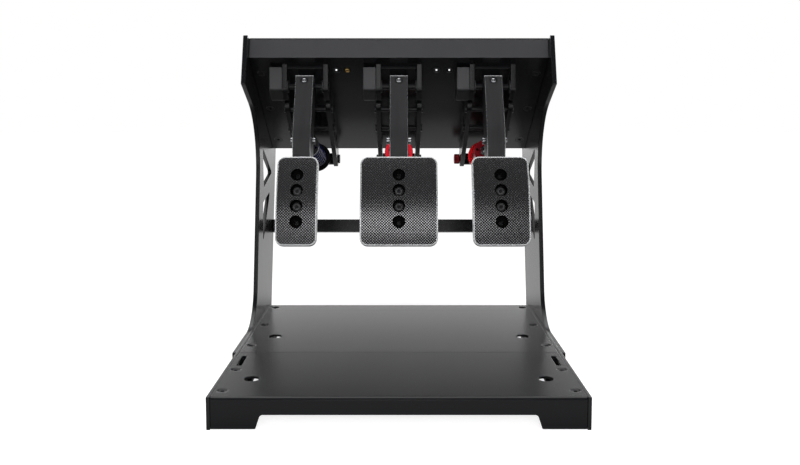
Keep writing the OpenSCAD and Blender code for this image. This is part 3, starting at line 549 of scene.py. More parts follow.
def creases(graph: Graph, shape: Shade) -> Shade:
    """Shade a solid smoothly between its creases.

    Args:
        graph: The nodes that it is added to.
        shape: The shape that comes in.

    Returns:
        The shaded shape.
    """
    fold = graph.node("GeometryNodeInputMeshEdgeAngle", output="Unsigned Angle")
    smooth = graph.node("GeometryNodeSetShadeSmooth", inputs={"Geometry": shape})
    return graph.node(
        "GeometryNodeSetShadeSmooth",
        {"domain": "EDGE"},
        {"Geometry": smooth, "Selection": fold.over(math.radians(CREASE_DEGREES)), "Shade Smooth": False},
    )


def dress(node: str, finish: Finish, edge: EdgeSoftening) -> bpy.types.Object:
    """Give a solid of the frame its finish and break its sharp edges.

    Args:
        node: Name of the solid's node.
        finish: The finish of its faces.
        edge: How its edges are broken.

    Returns:
        The node's object.
    """
    solid = frame["nodes"][node]
    solid.data.materials.clear()
    solid.data.materials.append(finish.material())
    weld = solid.modifiers.new("join_triangles", "WELD")
    weld.merge_threshold = JOIN_MM * MM
    flat = solid.modifiers.new("flat_faces", "DECIMATE")
    flat.decimate_type = "DISSOLVE"
    flat.angle_limit = math.radians(FLAT_DEGREES)
    if edge.shortest:
        marks = shape_nodes(f"edges_over_{edge.shortest:g}_mm", edge.long_edges)
        solid.modifiers.new("long_edges", "NODES").node_group = marks
    bevel = solid.modifiers.new("broken_edges", "BEVEL")
    bevel.width = edge.width * MM
    bevel.segments = edge.segments
    bevel.limit_method = "WEIGHT" if edge.shortest else "ANGLE"
    bevel.angle_limit = math.radians(edge.angle)
    bevel.loop_slide = False
    bevel.use_clamp_overlap = False
    if edge.bare:
        solid.data.materials.append(edge.bare.material())
        bevel.material = 1
    solid.modifiers.new("creases", "NODES").node_group = shape_nodes("creases", creases)
    even = solid.modifiers.new("even_normals", "WEIGHTED_NORMAL")
    even.keep_sharp = True
    LOG.info("dressed %s in %s", node, finish.name)
    return solid


def grid_quads(rows: int, columns: int, wrap_rows: bool = False, wrap_columns: bool = False) -> np.ndarray:
    """Quads between the neighbouring points of a grid.

    Args:
        rows: Number of rows of points.
        columns: Number of points in a row.
        wrap_rows: Whether the last row joins the first.
        wrap_columns: Whether the last point of a row joins its first.

    Returns:
        An array of four point indices per quad.
    """
    i, j = np.meshgrid(
        np.arange(rows if wrap_rows else rows - 1),
        np.arange(columns if wrap_columns else columns - 1),
        indexing="ij",
    )
    k, l = (i + 1) % rows, (j + 1) % columns
    return np.stack([i * columns + j, i * columns + l, k * columns + l, k * columns + j], -1).reshape(-1, 4)


def new_mesh(name: str, points: np.ndarray, faces: np.ndarray, smooth: bool = True) -> bpy.types.Mesh:
    """Closed mesh from arrays, with doubled points merged and faces turned outwards.

    Args:
        name: Name of the mesh.
        points: Points in metres, three numbers in each row.
        faces: Point indices, one face in each row.
        smooth: Whether the faces are shaded smoothly.

    Returns:
        The mesh.
    """
    mesh = bpy.data.meshes.new(name)
    mesh.from_pydata(points.reshape(-1, 3).tolist(), [], faces.tolist())
    work = bmesh.new()
    work.from_mesh(mesh)
    bmesh.ops.remove_doubles(work, verts=work.verts, dist=DOUBLE_MM * MM)
    bmesh.ops.recalc_face_normals(work, faces=work.faces)
    work.to_mesh(mesh)
    work.free()
    mesh.polygons.foreach_set("use_smooth", np.full(len(mesh.polygons), smooth))
    return mesh


def add_piece(mesh: bpy.types.Mesh, finish: Finish, body: str, replaces: str = "") -> bpy.types.Object:
    """Add a piece to the object.

    Args:
        mesh: Its mesh, in place in the frame.
        finish: Its finish.
        body: The body that it rides on.
        replaces: The solid that it stands for, if any.

    Returns:
        The new object.
    """
    piece = bpy.data.objects.new(mesh.name, mesh)
    bpy.context.scene.collection.objects.link(piece)
    mesh.materials.append(finish.material())
    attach(piece, body)
    if replaces:
        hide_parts(replaces)
    LOG.info("built %s with %d faces", mesh.name, len(mesh.polygons))
    return piece


@dataclass(frozen=True)
class Spindle:
    """An axis in space that turned pieces sit on.

    origin is in metres. along points along the axis, and side is square to it.
    """

    origin: np.ndarray
    along: np.ndarray
    side: np.ndarray

    def points(self, station: np.ndarray, radius: np.ndarray, angle: np.ndarray) -> np.ndarray:
        """Points at a station along the axis, a radius from it and an angle round it.

        Args:
            station: Distance along the axis in metres.
            radius: Distance from it in metres.
            angle: Angle round it from side, in radians.

        Returns:
            Points in the frame, in arrays like the arguments.
        """
        third = np.cross(self.along, self.side)
        return (
            self.origin
            + station[..., None] * self.along
            + (radius * np.cos(angle))[..., None] * self.side
            + (radius * np.sin(angle))[..., None] * third
        )

    def turned(self, name: str, profile: list[tuple[float, float]], sides: int = 64) -> bpy.types.Mesh:
        """Revolve an open profile that starts and ends on the axis, or a closed ring profile.

        Args:
            name: Name of the mesh.
            profile: Station and radius of each point, in millimetres, in order round the section.
            sides: Number of sides.

        Returns:
            The mesh of the revolved profile.
        """
        loop = np.array(profile, float) * MM
        angle = np.linspace(0, 2 * np.pi, sides, endpoint=False)
        station, turn = np.meshgrid(loop[:, 0], angle)
        radius = np.broadcast_to(loop[:, 1], station.shape)
        ring = profile[0][1] > 0
        return new_mesh(
            name, self.points(station, radius, turn), grid_quads(sides, len(profile), True, ring)
        )

    def thread(self, name: str, start: float, end: float, radius: float, pitch: float) -> bpy.types.Mesh:
        """Screw thread: the radius falls and rises once per pitch, shifted by the angle round the axis.

        Args:
            name: Name of the mesh.
            start: First station in millimetres.
            end: Last station in millimetres.
            radius: Crest radius in millimetres.
            pitch: Thread pitch in millimetres.

        Returns:
            The mesh of the threaded stretch, closed at both ends.
        """
        per_turn, sides = 8, 32
        deep, slope, crest_flat, end_drop = 0.55, 1.25, 0.12, 0.5
        station = np.linspace(start, end, int((end - start) / pitch * per_turn))
        angle = np.linspace(0, 2 * np.pi, sides, endpoint=False)
        along, turn = np.meshgrid(station, angle)
        phase = along / pitch - turn / (2 * np.pi)
        groove = np.abs(2 * (phase - np.floor(phase)) - 1)
        depth = deep * pitch * np.clip(slope * groove - crest_flat, 0, 1)
        run_out = np.minimum(along - start, end - along) / pitch
        crest = radius - np.maximum(depth, end_drop * pitch * np.clip(1 - run_out, 0, 1))
        crest[:, [0, -1]] = 0
        return new_mesh(
            name, self.points(along * MM, crest * MM, turn), grid_quads(sides, len(station), True)
        )

    def hex_nut(self, name: str, start: float, width: float, flats: float, bore: float) -> bpy.types.Mesh:
        """Hexagon nut: the radius follows six flats and is cut down by a cone at both faces.

        Args:
            name: Name of the mesh.
            start: Station of its first face in millimetres.
            width: Its width in millimetres.
            flats: Width across flats in millimetres.
            bore: Bore radius in millimetres.

        Returns:
            The mesh of the nut.
        """
        sides, inset, cone = 96, 0.16 * width, 0.475 * flats
        angle = np.linspace(0, 2 * np.pi, sides, endpoint=False)
        flat = flats / 2 / np.cos((angle + np.pi / 6) % (np.pi / 3) - np.pi / 6)
        station = np.array([0, 0, inset, width - inset, width, width])
        limit = np.array([bore, cone, flats, flats, cone, bore])
        along, turn = np.meshgrid(start + station, angle)
        radius = np.minimum(limit, flat[:, None])
        return new_mesh(
            name, self.points(along * MM, radius * MM, turn), grid_quads(sides, len(station), True, True), False
        )


def joint_of(name: str) -> dict:
    """A joint of the record by name."""
    return next(j for j in frame["joints"] if j["name"] == name)


def joint_place(name: str) -> np.ndarray:
    """A new array with a joint's place in metres."""
    return np.array(joint_of(name)["pos_m"], float)


def node_points(node: str) -> np.ndarray:
    """All points of a solid in the frame, one in each row.

    Args:
        node: Name of the solid's node.

    Returns:
        Points in metres, three numbers in each row.
    """
    mesh = frame["nodes"][node].data
    points = np.empty(len(mesh.vertices) * 3)
    mesh.vertices.foreach_get("co", points)
    return points.reshape(-1, 3)


@dataclass
class Base:
    """Heel plate, floor plate, rails and their screws.

    Sizes are in millimetres.
    """

    base_h: float = 60.0
    screw_sink: float = 0.9
    rails: tuple[str, ...] = ("base_rail_left", "base_rail_right")

    def build(self) -> None:
        """Dress the sheets, the rails and the countersunk screws."""
        dress("heel_plate", HEEL_COAT, SHEET_EDGE)
        dress("floor_plate", POWDER_COAT, SHEET_EDGE)
        for node in self.rails:
            dress(node, POWDER_COAT, SHEET_EDGE)
        screws = dress("countersunk_screws", BLACK_STEEL, SMALL_EDGE)
        screws.modifiers.new("sunk_heads", "NODES").node_group = shape_nodes("sunk_heads", self.sink)

    def sink(self, graph: Graph, shape: Shade) -> Shade:
        """Set the screws of the base a little deeper into their countersinks.

        Args:
            graph: The nodes that it is added to.
            shape: The shape that comes in.

        Returns:
            The shape with its low screws set deeper.
        """
        place = graph.node("GeometryNodeInputPosition")
        height = graph.node("ShaderNodeSeparateXYZ", inputs={0: place}, output="Z")
        return graph.node(
            "GeometryNodeSetPosition",
            inputs={
                "Geometry": shape,
                "Selection": 1 - height.over(self.base_h * MM),
                "Offset": (0.0, 0.0, -self.screw_sink * MM),
            },
        )


@dataclass
class Uprights:
    """Side panels, their bolts and the cross bar between them."""

    panels: tuple[str, ...] = ("side_panel_left", "side_panel_right")

    def build(self) -> None:
        """Dress the panels, the bolts and the bar."""
        for node in self.panels:
            dress(node, POWDER_COAT, PLATE_EDGE)
        dress("frame_bolts", BLACK_STEEL, SMALL_EDGE)
        dress("cross_bar", POWDER_COAT, PLATE_EDGE)


@dataclass
class Deck:
    """Tilted deck with its cover, sockets and sensitivity dial.

    Sizes are in millimetres, the lean of the front face in degrees. Sockets and dial look out of the underside.
    """

    socket_x: tuple[float, ...] = (-84.8, 50.9, 68.3)
    contact_r: float = 1.25
    contact_foot: float = 0.2
    contact_rise: float = 1.0
    contact_root: float = 1.0
    rim_r: float = 5.6
    rim_wall: float = 1.4
    rim_root: float = 0.2
    rim_side: float = 0.5
    rim_w: float = 0.9
    dial_r: float = 3.6
    dial_bore: float = 1.9
    dial_root: float = 4.0
    dial_out: float = 1.6
    dial_cut: float = 0.4
    bore_cut: float = 0.3
    core_at: float = -3.0
    core_w: float = 2.2
    core_over: float = 0.2
    core_bore: float = 0.9
    face_skin: float = 0.1
    front_lean: float = 15.37
    painted_highlight_colour: Colour = (0.038, 0.0384, 0.041)

    def coat(self) -> Finish:
        """Powder coat with its front face painted paler: a painted highlight of the overhead light.

        Returns:
            The finish.
        """
        lean = math.radians(self.front_lean)
        back = (0.0, math.cos(lean), -math.sin(lean))
        front = float((node_points("deck") @ np.array(back)).min())
        # The deck's front face is painted paler, a painted highlight of the overhead light; the rest keeps the
        # powder coat's colour.
        face = Band(back, -BEYOND, front + self.face_skin * MM, POWDER_COAT.colour)
        return replace(POWDER_COAT, name="deck_powder_coat", colour=self.painted_highlight_colour, band=face)

    def spindle(self, x: float) -> Spindle:
        """Axis out of the deck underside through the row of sockets.

        Args:
            x: Sideways place in millimetres.

        Returns:
            The axis, with station 0 at the dial's height.
        """
        up = np.array(joint_of("sensitivity_turn")["axis"], float)
        origin = joint_place("sensitivity_turn")
        origin[0] = x * MM
        return Spindle(origin, -up, RIGHT)

    def contact(self, place: int, x: float) -> None:
        """Domed metal contact in the middle of a socket, glowing a little as a painted glint.

        Args:
            place: Number of the socket.
            x: Sideways place in millimetres.
        """
        r, root = self.contact_r, -self.contact_root
        turn = np.linspace(0, math.pi / 2, num=7)
        dome = [(self.contact_foot + self.contact_rise * math.cos(a), r * math.sin(a)) for a in turn]
        mesh = self.spindle(x).turned(f"socket_contact_{place}", [*dome, (root, r), (root, 0.0)], sides=24)
        add_piece(mesh, GLOWING_PIN, "frame")

    def rim(self, place: int, x: float) -> None:
        """Raised plastic ring round a socket.

        Args:
            place: Number of the socket.
            x: Sideways place in millimetres.
        """
        inner, outer, root, top = self.rim_r - self.rim_wall, self.rim_r, -self.rim_root, self.rim_w
        slope = outer - (top - self.rim_side)
        section = [(root, inner), (root, outer), (self.rim_side, outer), (top, slope), (top, inner)]
        mesh = self.spindle(x).turned(f"socket_rim_{place}", section, sides=48)
        add_piece(mesh, BLACK_PLASTIC_AND_SHADE, "frame")

    def dial(self) -> None:
        """Brass ring with a dark hexagonal hole for the key."""
        axis = self.spindle(joint_place("sensitivity_turn")[0] / MM)
        out, root, r, bore = self.dial_out, -self.dial_root, self.dial_r, self.dial_bore
        cut, sink = self.dial_cut, self.bore_cut
        ring = [(root, bore), (root, r), (out - cut, r), (out, r - cut), (out, bore + sink), (out - sink, bore)]
        add_piece(axis.turned("sensitivity_dial_ring", ring), BRASS, "dial", "sensitivity_dial")
        flats = 2 * bore + self.core_over
        plug = axis.hex_nut("sensitivity_dial_core", self.core_at, self.core_w, flats, self.core_bore)
        add_piece(plug, BLACK_STEEL, "dial")

    def build(self) -> None:
        """Dress the deck and build what looks out of it."""
        for node in ("deck", "deck_cover"):
            dress(node, self.coat(), SHEET_EDGE)
        dress("control_board", BLACK_PLASTIC, SMALL_EDGE)
        for place, x in enumerate(self.socket_x):
            self.contact(place, x)
            self.rim(place, x)
        self.dial()


@dataclass
class PadGrip:
    """Knurled face of a pad: blunt square pyramids set on their corners.

    Sizes are in millimetres, the lean of the face in degrees, and centre_x in metres. Tops lie on the curved face
    of the solid, valleys below it. flat is the width of a top as a share of the pitch, spare the number of
    pyramids outside the outline before it is cut, and square_limit the cosine past which a face counts as a top.
    """

    pedal: str
    centre_x: float
    half_w: float
    up: float = 55.5
    down: float = 59.5
    ahead: float = 93.1
    below_pivot: float = 141.4
    lean: float = 18.5
    face_r: float = 250.0
    pitch: float = 2.47
    depth: float = 0.42
    flat: float = 0.52
    spare: float = 3.0
    square_limit: float = 0.985
    backing: float = 1.1
    hole_r: float = 8.0
    hole_rim: float = 0.4
    hole_reach: float = 42.0
    screw_up: tuple[float, ...] = (9.77, -10.43)
    screw_depth: float = 7.44
    socket_flats: float = 5.0
    socket_at: float = -0.6
    socket_w: float = 0.7
    socket_bore: float = 0.3

    def origin(self) -> np.ndarray:
        """Middle of the pad's face, in metres."""
        pivot = joint_place(f"{self.pedal}_press")
        return np.array([self.centre_x, pivot[1] - self.ahead * MM, pivot[2] - self.below_pivot * MM])

    def upward(self) -> np.ndarray:
        """Direction up along the face."""
        lean = math.radians(self.lean)
        return np.array([0.0, math.sin(lean), math.cos(lean)])

    def outward(self) -> np.ndarray:
        """Direction out of the middle of the face."""
        upward = self.upward()
        return np.array([0.0, -upward[2], upward[1]])

    def surface(self, across: np.ndarray, along: np.ndarray, below: np.ndarray) -> np.ndarray:
        """Points on the drum of radius face_r about an axis behind the pad, at a depth below its face.

        Args:
            across: Place across the face in millimetres.
            along: Place up along the arc in millimetres.
            below: Depth below the face in millimetres.

        Returns:
            Points in metres.
        """
        origin = self.origin() / MM
        turn = along / self.face_r
        reach = self.face_r - below
        inward = self.face_r - reach * np.cos(turn)
        rise = reach * np.sin(turn)
        spread = across[..., None] * RIGHT
        return (origin + spread - inward[..., None] * self.outward() + rise[..., None] * self.upward()) * MM

    def slab(self) -> bpy.types.Mesh:
        """Blunt pyramids on a grid turned by 45 degrees: cell corners are valleys, tops are small squares.

        Returns:
            The closed sheet, larger than the pad's outline.
        """
        reach = self.half_w + self.down
        n = int(2 * reach / self.pitch)
        line = (np.arange(n + 1) - n / 2) * self.pitch
        corners = np.stack(np.meshgrid(line, line, indexing="ij"), -1).reshape(-1, 2)
        quads = grid_quads(n + 1, n + 1)
        middle = corners[quads].mean(1)
        spun = np.array([[1, 1], [1, -1]]) / math.sqrt(2)
        across, along = (middle @ spun).T
        margin = self.spare * self.pitch
        keep = (np.abs(across) < self.half_w + margin) & (along < self.up + margin) & (along > -self.down - margin)
        quads, middle = quads[keep], middle[keep]
        tops = middle[:, None] + self.flat * (corners[quads] - middle[:, None])
        layers = [(corners, self.depth), (tops.reshape(-1, 2), 0.0), (corners, self.backing)]
        points = [self.surface(*(flat @ spun).T, np.full(len(flat), below)) for flat, below in layers]
        base = len(corners)
        upper = base + np.arange(4 * len(quads)).reshape(-1, 4)
        turns = [(k, (k + 1) % 4) for k in range(4)]
        sides = [np.stack([quads[:, k], quads[:, l], upper[:, l], upper[:, k]], -1) for k, l in turns]
        shift = base + 4 * len(quads)
        edges = np.concatenate([quads[:, [k, l]] for k, l in turns])
        _, first, count = np.unique(np.sort(edges, 1), axis=0, return_index=True, return_counts=True)
        rim = edges[first[count == 1]]
        wall = np.stack([rim[:, 0], rim[:, 1], rim[:, 1] + shift, rim[:, 0] + shift], -1)
        faces = np.concatenate([upper, *sides, quads + shift, wall])
        used, index = np.unique(faces, return_inverse=True)
        return new_mesh(
            f"{self.pedal}_grip_face", np.concatenate(points)[used], index.reshape(-1, 4), smooth=False
        )

    def grooves(self, mesh: bpy.types.Mesh) -> np.ndarray:
        """1 on the faces that aren't square to the drum, such as the sides of the pyramids, and 0 on their tops.
        Faces with 1 get a matte near-black finish, painted shade in the grooves.

        Args:
            mesh: The cut sheet.

        Returns:
            A material index for each face.
        """
        count = len(mesh.polygons)
        normal, centre = np.empty(count * 3), np.empty(count * 3)
        mesh.polygons.foreach_get("normal", normal)
        mesh.polygons.foreach_get("center", centre)
        upward = self.upward()
        turn = (centre.reshape(-1, 3) - self.origin()) @ upward / (self.face_r * MM)
        square = np.cos(turn)[:, None] * self.outward() + np.sin(turn)[:, None] * upward
        return ((normal.reshape(-1, 3) * square).sum(1) < self.square_limit).astype(np.int32)

    def build(self) -> None:
        """Cut the sheet of pyramids to the outline and holes of the solid grip."""
        node = f"{self.pedal}_pad_grip"
        mesh = common_mesh(self.slab(), merged_copy(node))
        add_piece(mesh, GRIP_DARK, f"{self.pedal}_pedal", node)
        mesh.materials.append(GROOVE_PAINTED_SHADE.material())
        mesh.polygons.foreach_set("material_index", self.grooves(mesh))

    def sockets(self) -> None:
        """Thin black hexagons just inside the heads of the pad's screws, painted shade in place of their hex
        sockets.
        """
        upward, out = self.upward(), self.outward()
        for place, rise in enumerate(self.screw_up):
            axis = Spindle(self.origin() + (rise * upward - self.screw_depth * out) * MM, out, RIGHT)
            name = f"{self.pedal}_pad_socket_{place}"
            plug = axis.hex_nut(name, self.socket_at, self.socket_w, self.socket_flats, self.socket_bore)
            add_piece(plug, BLACK_PLASTIC_AND_SHADE, f"{self.pedal}_pedal")

    def holed_metal(self) -> Finish:
        """Finish of the pad's solid, with its holes painted black inside as painted shade.

        Returns:
            The finish.
        """
        upward = self.upward()
        return PaintedShadeHoles(
            f"{self.pedal}_pad_aluminium", "bare_aluminium", (0.68, 0.685, 0.70), 0.28, 0.75, specular=0.15,
            gloss_swing=0.08, bump_depth=0.005, grains_per_m=1600.0, way=Brushing.CROSSWISE,
            middle_x=self.centre_x, half_w=(self.hole_r + self.hole_rim) * MM, upward=tuple(upward),
            middle=float(self.origin() @ upward), half_l=self.hole_reach * MM,
        )


def merged_copy(node: str) -> bpy.types.Mesh:
    """Copy of a solid's mesh with its loose triangles joined.

    Args:
        node: Name of the solid's node.

    Returns:
        The new mesh.
    """
    mesh = frame["nodes"][node].data.copy()
    work = bmesh.new()
    work.from_mesh(mesh)
    bmesh.ops.remove_doubles(work, verts=work.verts, dist=JOIN_MM * MM)
    work.to_mesh(mesh)
    work.free()
    return mesh


def common_mesh(mesh: bpy.types.Mesh, other: bpy.types.Mesh) -> bpy.types.Mesh:
    """The space that two closed meshes have in common.

    Args:
        mesh: The mesh whose name is kept.
        other: The mesh that trims it, removed afterwards.

    Returns:
        A new mesh with the name of the first.
    """
    name = mesh.name
    holder = bpy.data.objects.new("trimmed", mesh)
    tool = bpy.data.objects.new("trimmer", other)
    for made in (holder, tool):
        bpy.context.scene.collection.objects.link(made)
    cut = holder.modifiers.new("common", "BOOLEAN")
    cut.operation = "INTERSECT"
    cut.solver = "EXACT"
    cut.object = tool
    graph = bpy.context.evaluated_depsgraph_get()
    result = bpy.data.meshes.new_from_object(holder.evaluated_get(graph))
    for made in (holder, tool):
        bpy.data.objects.remove(made)
    for spent in (mesh, other):
        bpy.data.meshes.remove(spent)
    result.name = name
    result.materials.clear()
    result.polygons.foreach_set("use_smooth", np.zeros(len(result.polygons), bool))
    result.polygons.foreach_set("material_index", np.zeros(len(result.polygons), np.int32))
    return result


@dataclass
class Pedal:
    """Arm, pad, axle and the bracket that one pedal hangs in.

    Sizes are in millimetres, the lean of the arm's upper part in degrees.
    """

    name: str
    pad_shift: float
    pad_half_w: float
    arm_lean: float = 27.45
    arm_half_t: float = 17.0
    arm_tip: float = 6.2
    tip_colour: Colour = (0.3, 0.3, 0.31)
    painted_shade_split: float = 4.0
    clamp_r: float = 3.7
    clamp_rise: float = 2.0
    clamp_foot: float = 0.1
    clamp_root: float = 0.5
    ring_in: float = 0.2
    ring_out: float = 1.6
    ring_root: float = 0.3

    def clamp_axis(self) -> Spindle:
        """Axis of the clamp screw, out of the arm's front face, from the press joint.

        Returns:
            The axis, with station 0 on the face.
        """
        lean = math.radians(self.arm_lean)
        out = np.array([0.0, -math.cos(lean), math.sin(lean)])
        return Spindle(joint_place(f"{self.name}_press") + self.arm_half_t * MM * out, out, RIGHT)

    def arm_finish(self) -> Finish:
        """Black arm with a bare upper end.

        Returns:
            The finish.
        """
        axis = self.clamp_axis()
        up = np.cross(axis.side, -axis.along)
        tip = float(axis.origin @ up) + self.arm_tip * MM
        black = Band(tuple(up), -BEYOND, tip, self.tip_colour)
        return replace(ARM_BLACK, name=f"{self.name}_{ARM_BLACK.name}", band=black)

    def clamp(self) -> None:
        """Domed head of the clamp screw, ringed by a thin black annulus that is painted shade in place of a
        counterbore.
        """
        axis, r, foot, root = self.clamp_axis(), self.clamp_r, self.clamp_foot, -self.clamp_root
        turn = np.linspace(0, math.pi / 2, num=9)
        dome = [(foot + self.clamp_rise * math.cos(a), r * math.sin(a)) for a in turn]
        head = axis.turned(f"{self.name}_clamp_head", [*dome, (root, r), (root, 0.0)], sides=40)
        add_piece(head, STEEL, f"{self.name}_pedal")
        # The black annulus on the arm's face round the head is painted shade in place of a counterbore.
        inner, outer, back = r - self.ring_in, r + self.ring_out, -self.ring_root
        ring = [(back, inner), (back, outer), (foot, outer), (foot, inner)]
        shade_ring = axis.turned(f"{self.name}_clamp_ring", ring, sides=40)
        add_piece(shade_ring, BLACK_PLASTIC_AND_SHADE, f"{self.name}_pedal")

    def build(self) -> None:
        """Dress the pedal's solids and build its clamp screw and knurled grip."""
        p = self.name
        pivot = joint_place(f"{p}_press")
        # The sensor housing keeps the lighter plastic above a line just under the pivot and is painted near black
        # below it, as painted shade on its underside.
        upper = Band((0.0, 0.0, 1.0), float(pivot[2]) - self.painted_shade_split * MM, BEYOND)
        grip = PadGrip(p, float(pivot[0]) + self.pad_shift * MM, self.pad_half_w)
        looks = {
            "yoke": (POWDER_COAT, YOKE_EDGE),
            "cheeks": (POWDER_COAT, CHEEK_EDGE),
            "sensor_housing": (replace(SENSOR_GREY, name=f"{p}_{SENSOR_GREY.name}", band=upper), SHELL_EDGE),
            "axle": (DARK_STEEL, SMALL_EDGE),
            "arm": (self.arm_finish(), ARM_EDGE),
            "pad_carrier": (POWDER_COAT, SMALL_EDGE),
            "pad": (grip.holed_metal(), PLATE_EDGE),
            "pad_screws": (PAD_SCREW_PAINTED_LIGHT, SMALL_EDGE),
            "arm_bolts": (STEEL, SMALL_EDGE),
        }
        for node, (finish, edge) in looks.items():
            dress(f"{p}_{node}", finish, edge)
        self.clamp()
        grip.build()
        grip.sockets()


@dataclass
class Strut:
    """Spring strut of a pedal: rod, cup, trunnion and what springs between them.

    Sizes are in millimetres. The seat's colour runs from paint_from behind the spring's end to the seat's back;
    the rest of the trunnion is painted near black as painted shade.
    """

    name: str
    cup: Finish
    seat: Finish
    seat_t: float = 4.0
    seat_over: float = 0.3
    paint_from: float = 1.2
    rod_r: float = 5.0
    eye_r: float = 9.0
    thread_pitch: float = 1.5
    thread_over: float = 0.35
    thread_gap: float = 0.5
    nut_w: float = 6.0
    nut_flats: float = 16.0
    nut_gap: float = 0.6

    def spindle(self) -> Spindle:
        """Strut axis with station 0 at the rear pin and stations growing to the rear."""
        along = np.array(joint_of(f"{self.name}_rod_slide")["axis"], float)
        return Spindle(joint_place(f"{self.name}_strut_turn"), along / np.linalg.norm(along), RIGHT)

    def reach(self, node: str) -> tuple[float, float]:
        """First and last station of a solid along the strut, in millimetres.

        Args:
            node: Name of the solid's node.

        Returns:
            The two stations.
        """
        axis = self.spindle()
        stations = (node_points(node) - axis.origin) @ axis.along
        return float(stations.min()) / MM, float(stations.max()) / MM

    def shrink(self, piece: bpy.types.Object) -> None:
        """Give a piece between the rod's cup and the seat a mesh of its own. The spring's stations, the slide's
        travel and the axis are worked out but not used.

        Args:
            piece: A piece between the rod's cup and the seat.
        """
        first, last = self.reach(f"{self.name}_spring")
        travel = joint_of(f"{self.name}_rod_slide")["range_m"][1] / MM
        axis = self.spindle()
        tuple(axis.along)
        tuple(axis.origin + last * MM * axis.along)
        (last - first - travel) / (last - first)
        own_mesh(piece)

    def rod(self) -> None:
        """Thread on the front of the rod, with a jam nut at each end."""
        axis = self.spindle()
        eye_end = self.reach(f"{self.name}_strut_rod")[0] + 2 * self.eye_r
        cup_start = self.reach(f"{self.name}_spring_cup")[0]
        thread_end, crest = cup_start - self.thread_gap, self.rod_r + self.thread_over
        thread = axis.thread(f"{self.name}_rod_thread", eye_end, thread_end, crest, self.thread_pitch)
        add_piece(thread, STEEL, f"{self.name}_rod")
        nuts = {"eye_nut": eye_end, "cup_nut": cup_start - self.nut_w - self.nut_gap}
        for nut, start in nuts.items():
            mesh = axis.hex_nut(f"{self.name}_{nut}", start, self.nut_w, self.nut_flats, self.rod_r)
            add_piece(mesh, STEEL, f"{self.name}_rod")

    def build(self) -> None:
        """Dress the strut's solids and build its rod details."""
        dress(f"{self.name}_strut_rod", STEEL, SMALL_EDGE)
        dress(f"{self.name}_spring_cup", self.cup, SHEET_EDGE)
        dress(f"{self.name}_trunnion", self.seat_finish(), SHEET_EDGE)
        self.rod()

    def seat_finish(self) -> Finish:
        """Finish of the trunnion: the seat's colour on its rim, painted shade in near black on the rest.

        Returns:
            The finish.
        """
        axis = self.spindle()
        zero = float(axis.origin @ axis.along)
        seat = zero + self.reach(f"{self.name}_spring")[1] * MM
        # Outside this band the trunnion is painted near black: painted shade on the boss and the tube, and on the
        # seat's face where paint_from is positive.
        rim = Band(tuple(axis.along), seat + self.paint_from * MM, seat + (self.seat_t + self.seat_over) * MM)
        return replace(self.seat, name=f"{self.name}_seat_{self.seat.name}", band=rim)


@dataclass
class CoilStrut(Strut):
    """Strut with a coil spring.

    closed_pitch is the rise of an end turn, and ground what is ground off each end, as shares of the wire.
    """

    coil_r: float = 14.0
    wire_d: float = 4.0
    turns: float = 8.5
    closed_pitch: float = 1.12
    ground: float = 0.18
    wire: Finish = BLUE

    def coil(self) -> bpy.types.Mesh:
        """Round wire along a helix. Its first and last turns lie close and are ground flat at the ends.

        Returns:
            The mesh of the wire.
        """
        first, last = self.reach(f"{self.name}_spring")
        length, wire, turns = last - first, self.wire_d, self.turns
        per_turn, sides = 40, 14
        rings = int(turns * per_turn) + 1
        t = np.linspace(0, turns, rings)
        closed = self.closed_pitch * wire
        pitch = (length - wire - 2 * closed) / (turns - 2)
        rise = [0, closed, closed + (turns - 2) * pitch, length - wire]
        height = np.interp(t, [0, 1, turns - 1, turns], rise) + wire / 2
        angle = 2 * np.pi * t
        centre = np.stack([self.coil_r * np.cos(angle), self.coil_r * np.sin(angle), height], -1)
        tangent = np.gradient(centre, axis=0)
        tangent /= np.linalg.norm(tangent, axis=1, keepdims=True)
        outward = np.stack([np.cos(angle), np.sin(angle), 0 * angle], -1)
        upward = np.cross(tangent, outward)
        around = np.linspace(0, 2 * np.pi, sides, endpoint=False)
        thick = np.full(rings, wire / 2)
        thick[[0, -1]] = 0
        skin = centre[:, None] + thick[:, None, None] * (
            np.cos(around)[None, :, None] * outward[:, None] + np.sin(around)[None, :, None] * upward[:, None]
        )
        off = self.ground * wire
        flat = np.clip(skin[..., 2], off, length - off)
        flat = (flat - off) * length / (length - 2 * off)
        radius = np.hypot(skin[..., 0], skin[..., 1])
        spin = np.arctan2(skin[..., 1], skin[..., 0])
        points = self.spindle().points((first + flat) * MM, radius * MM, spin)
        return new_mesh(f"{self.name}_coil", points, grid_quads(rings, sides, False, True))

    def build(self) -> None:
        """Build the strut and its coil."""
        super().build()
        piece = add_piece(self.coil(), self.wire, f"{self.name}_strut", f"{self.name}_spring")
        self.shrink(piece)


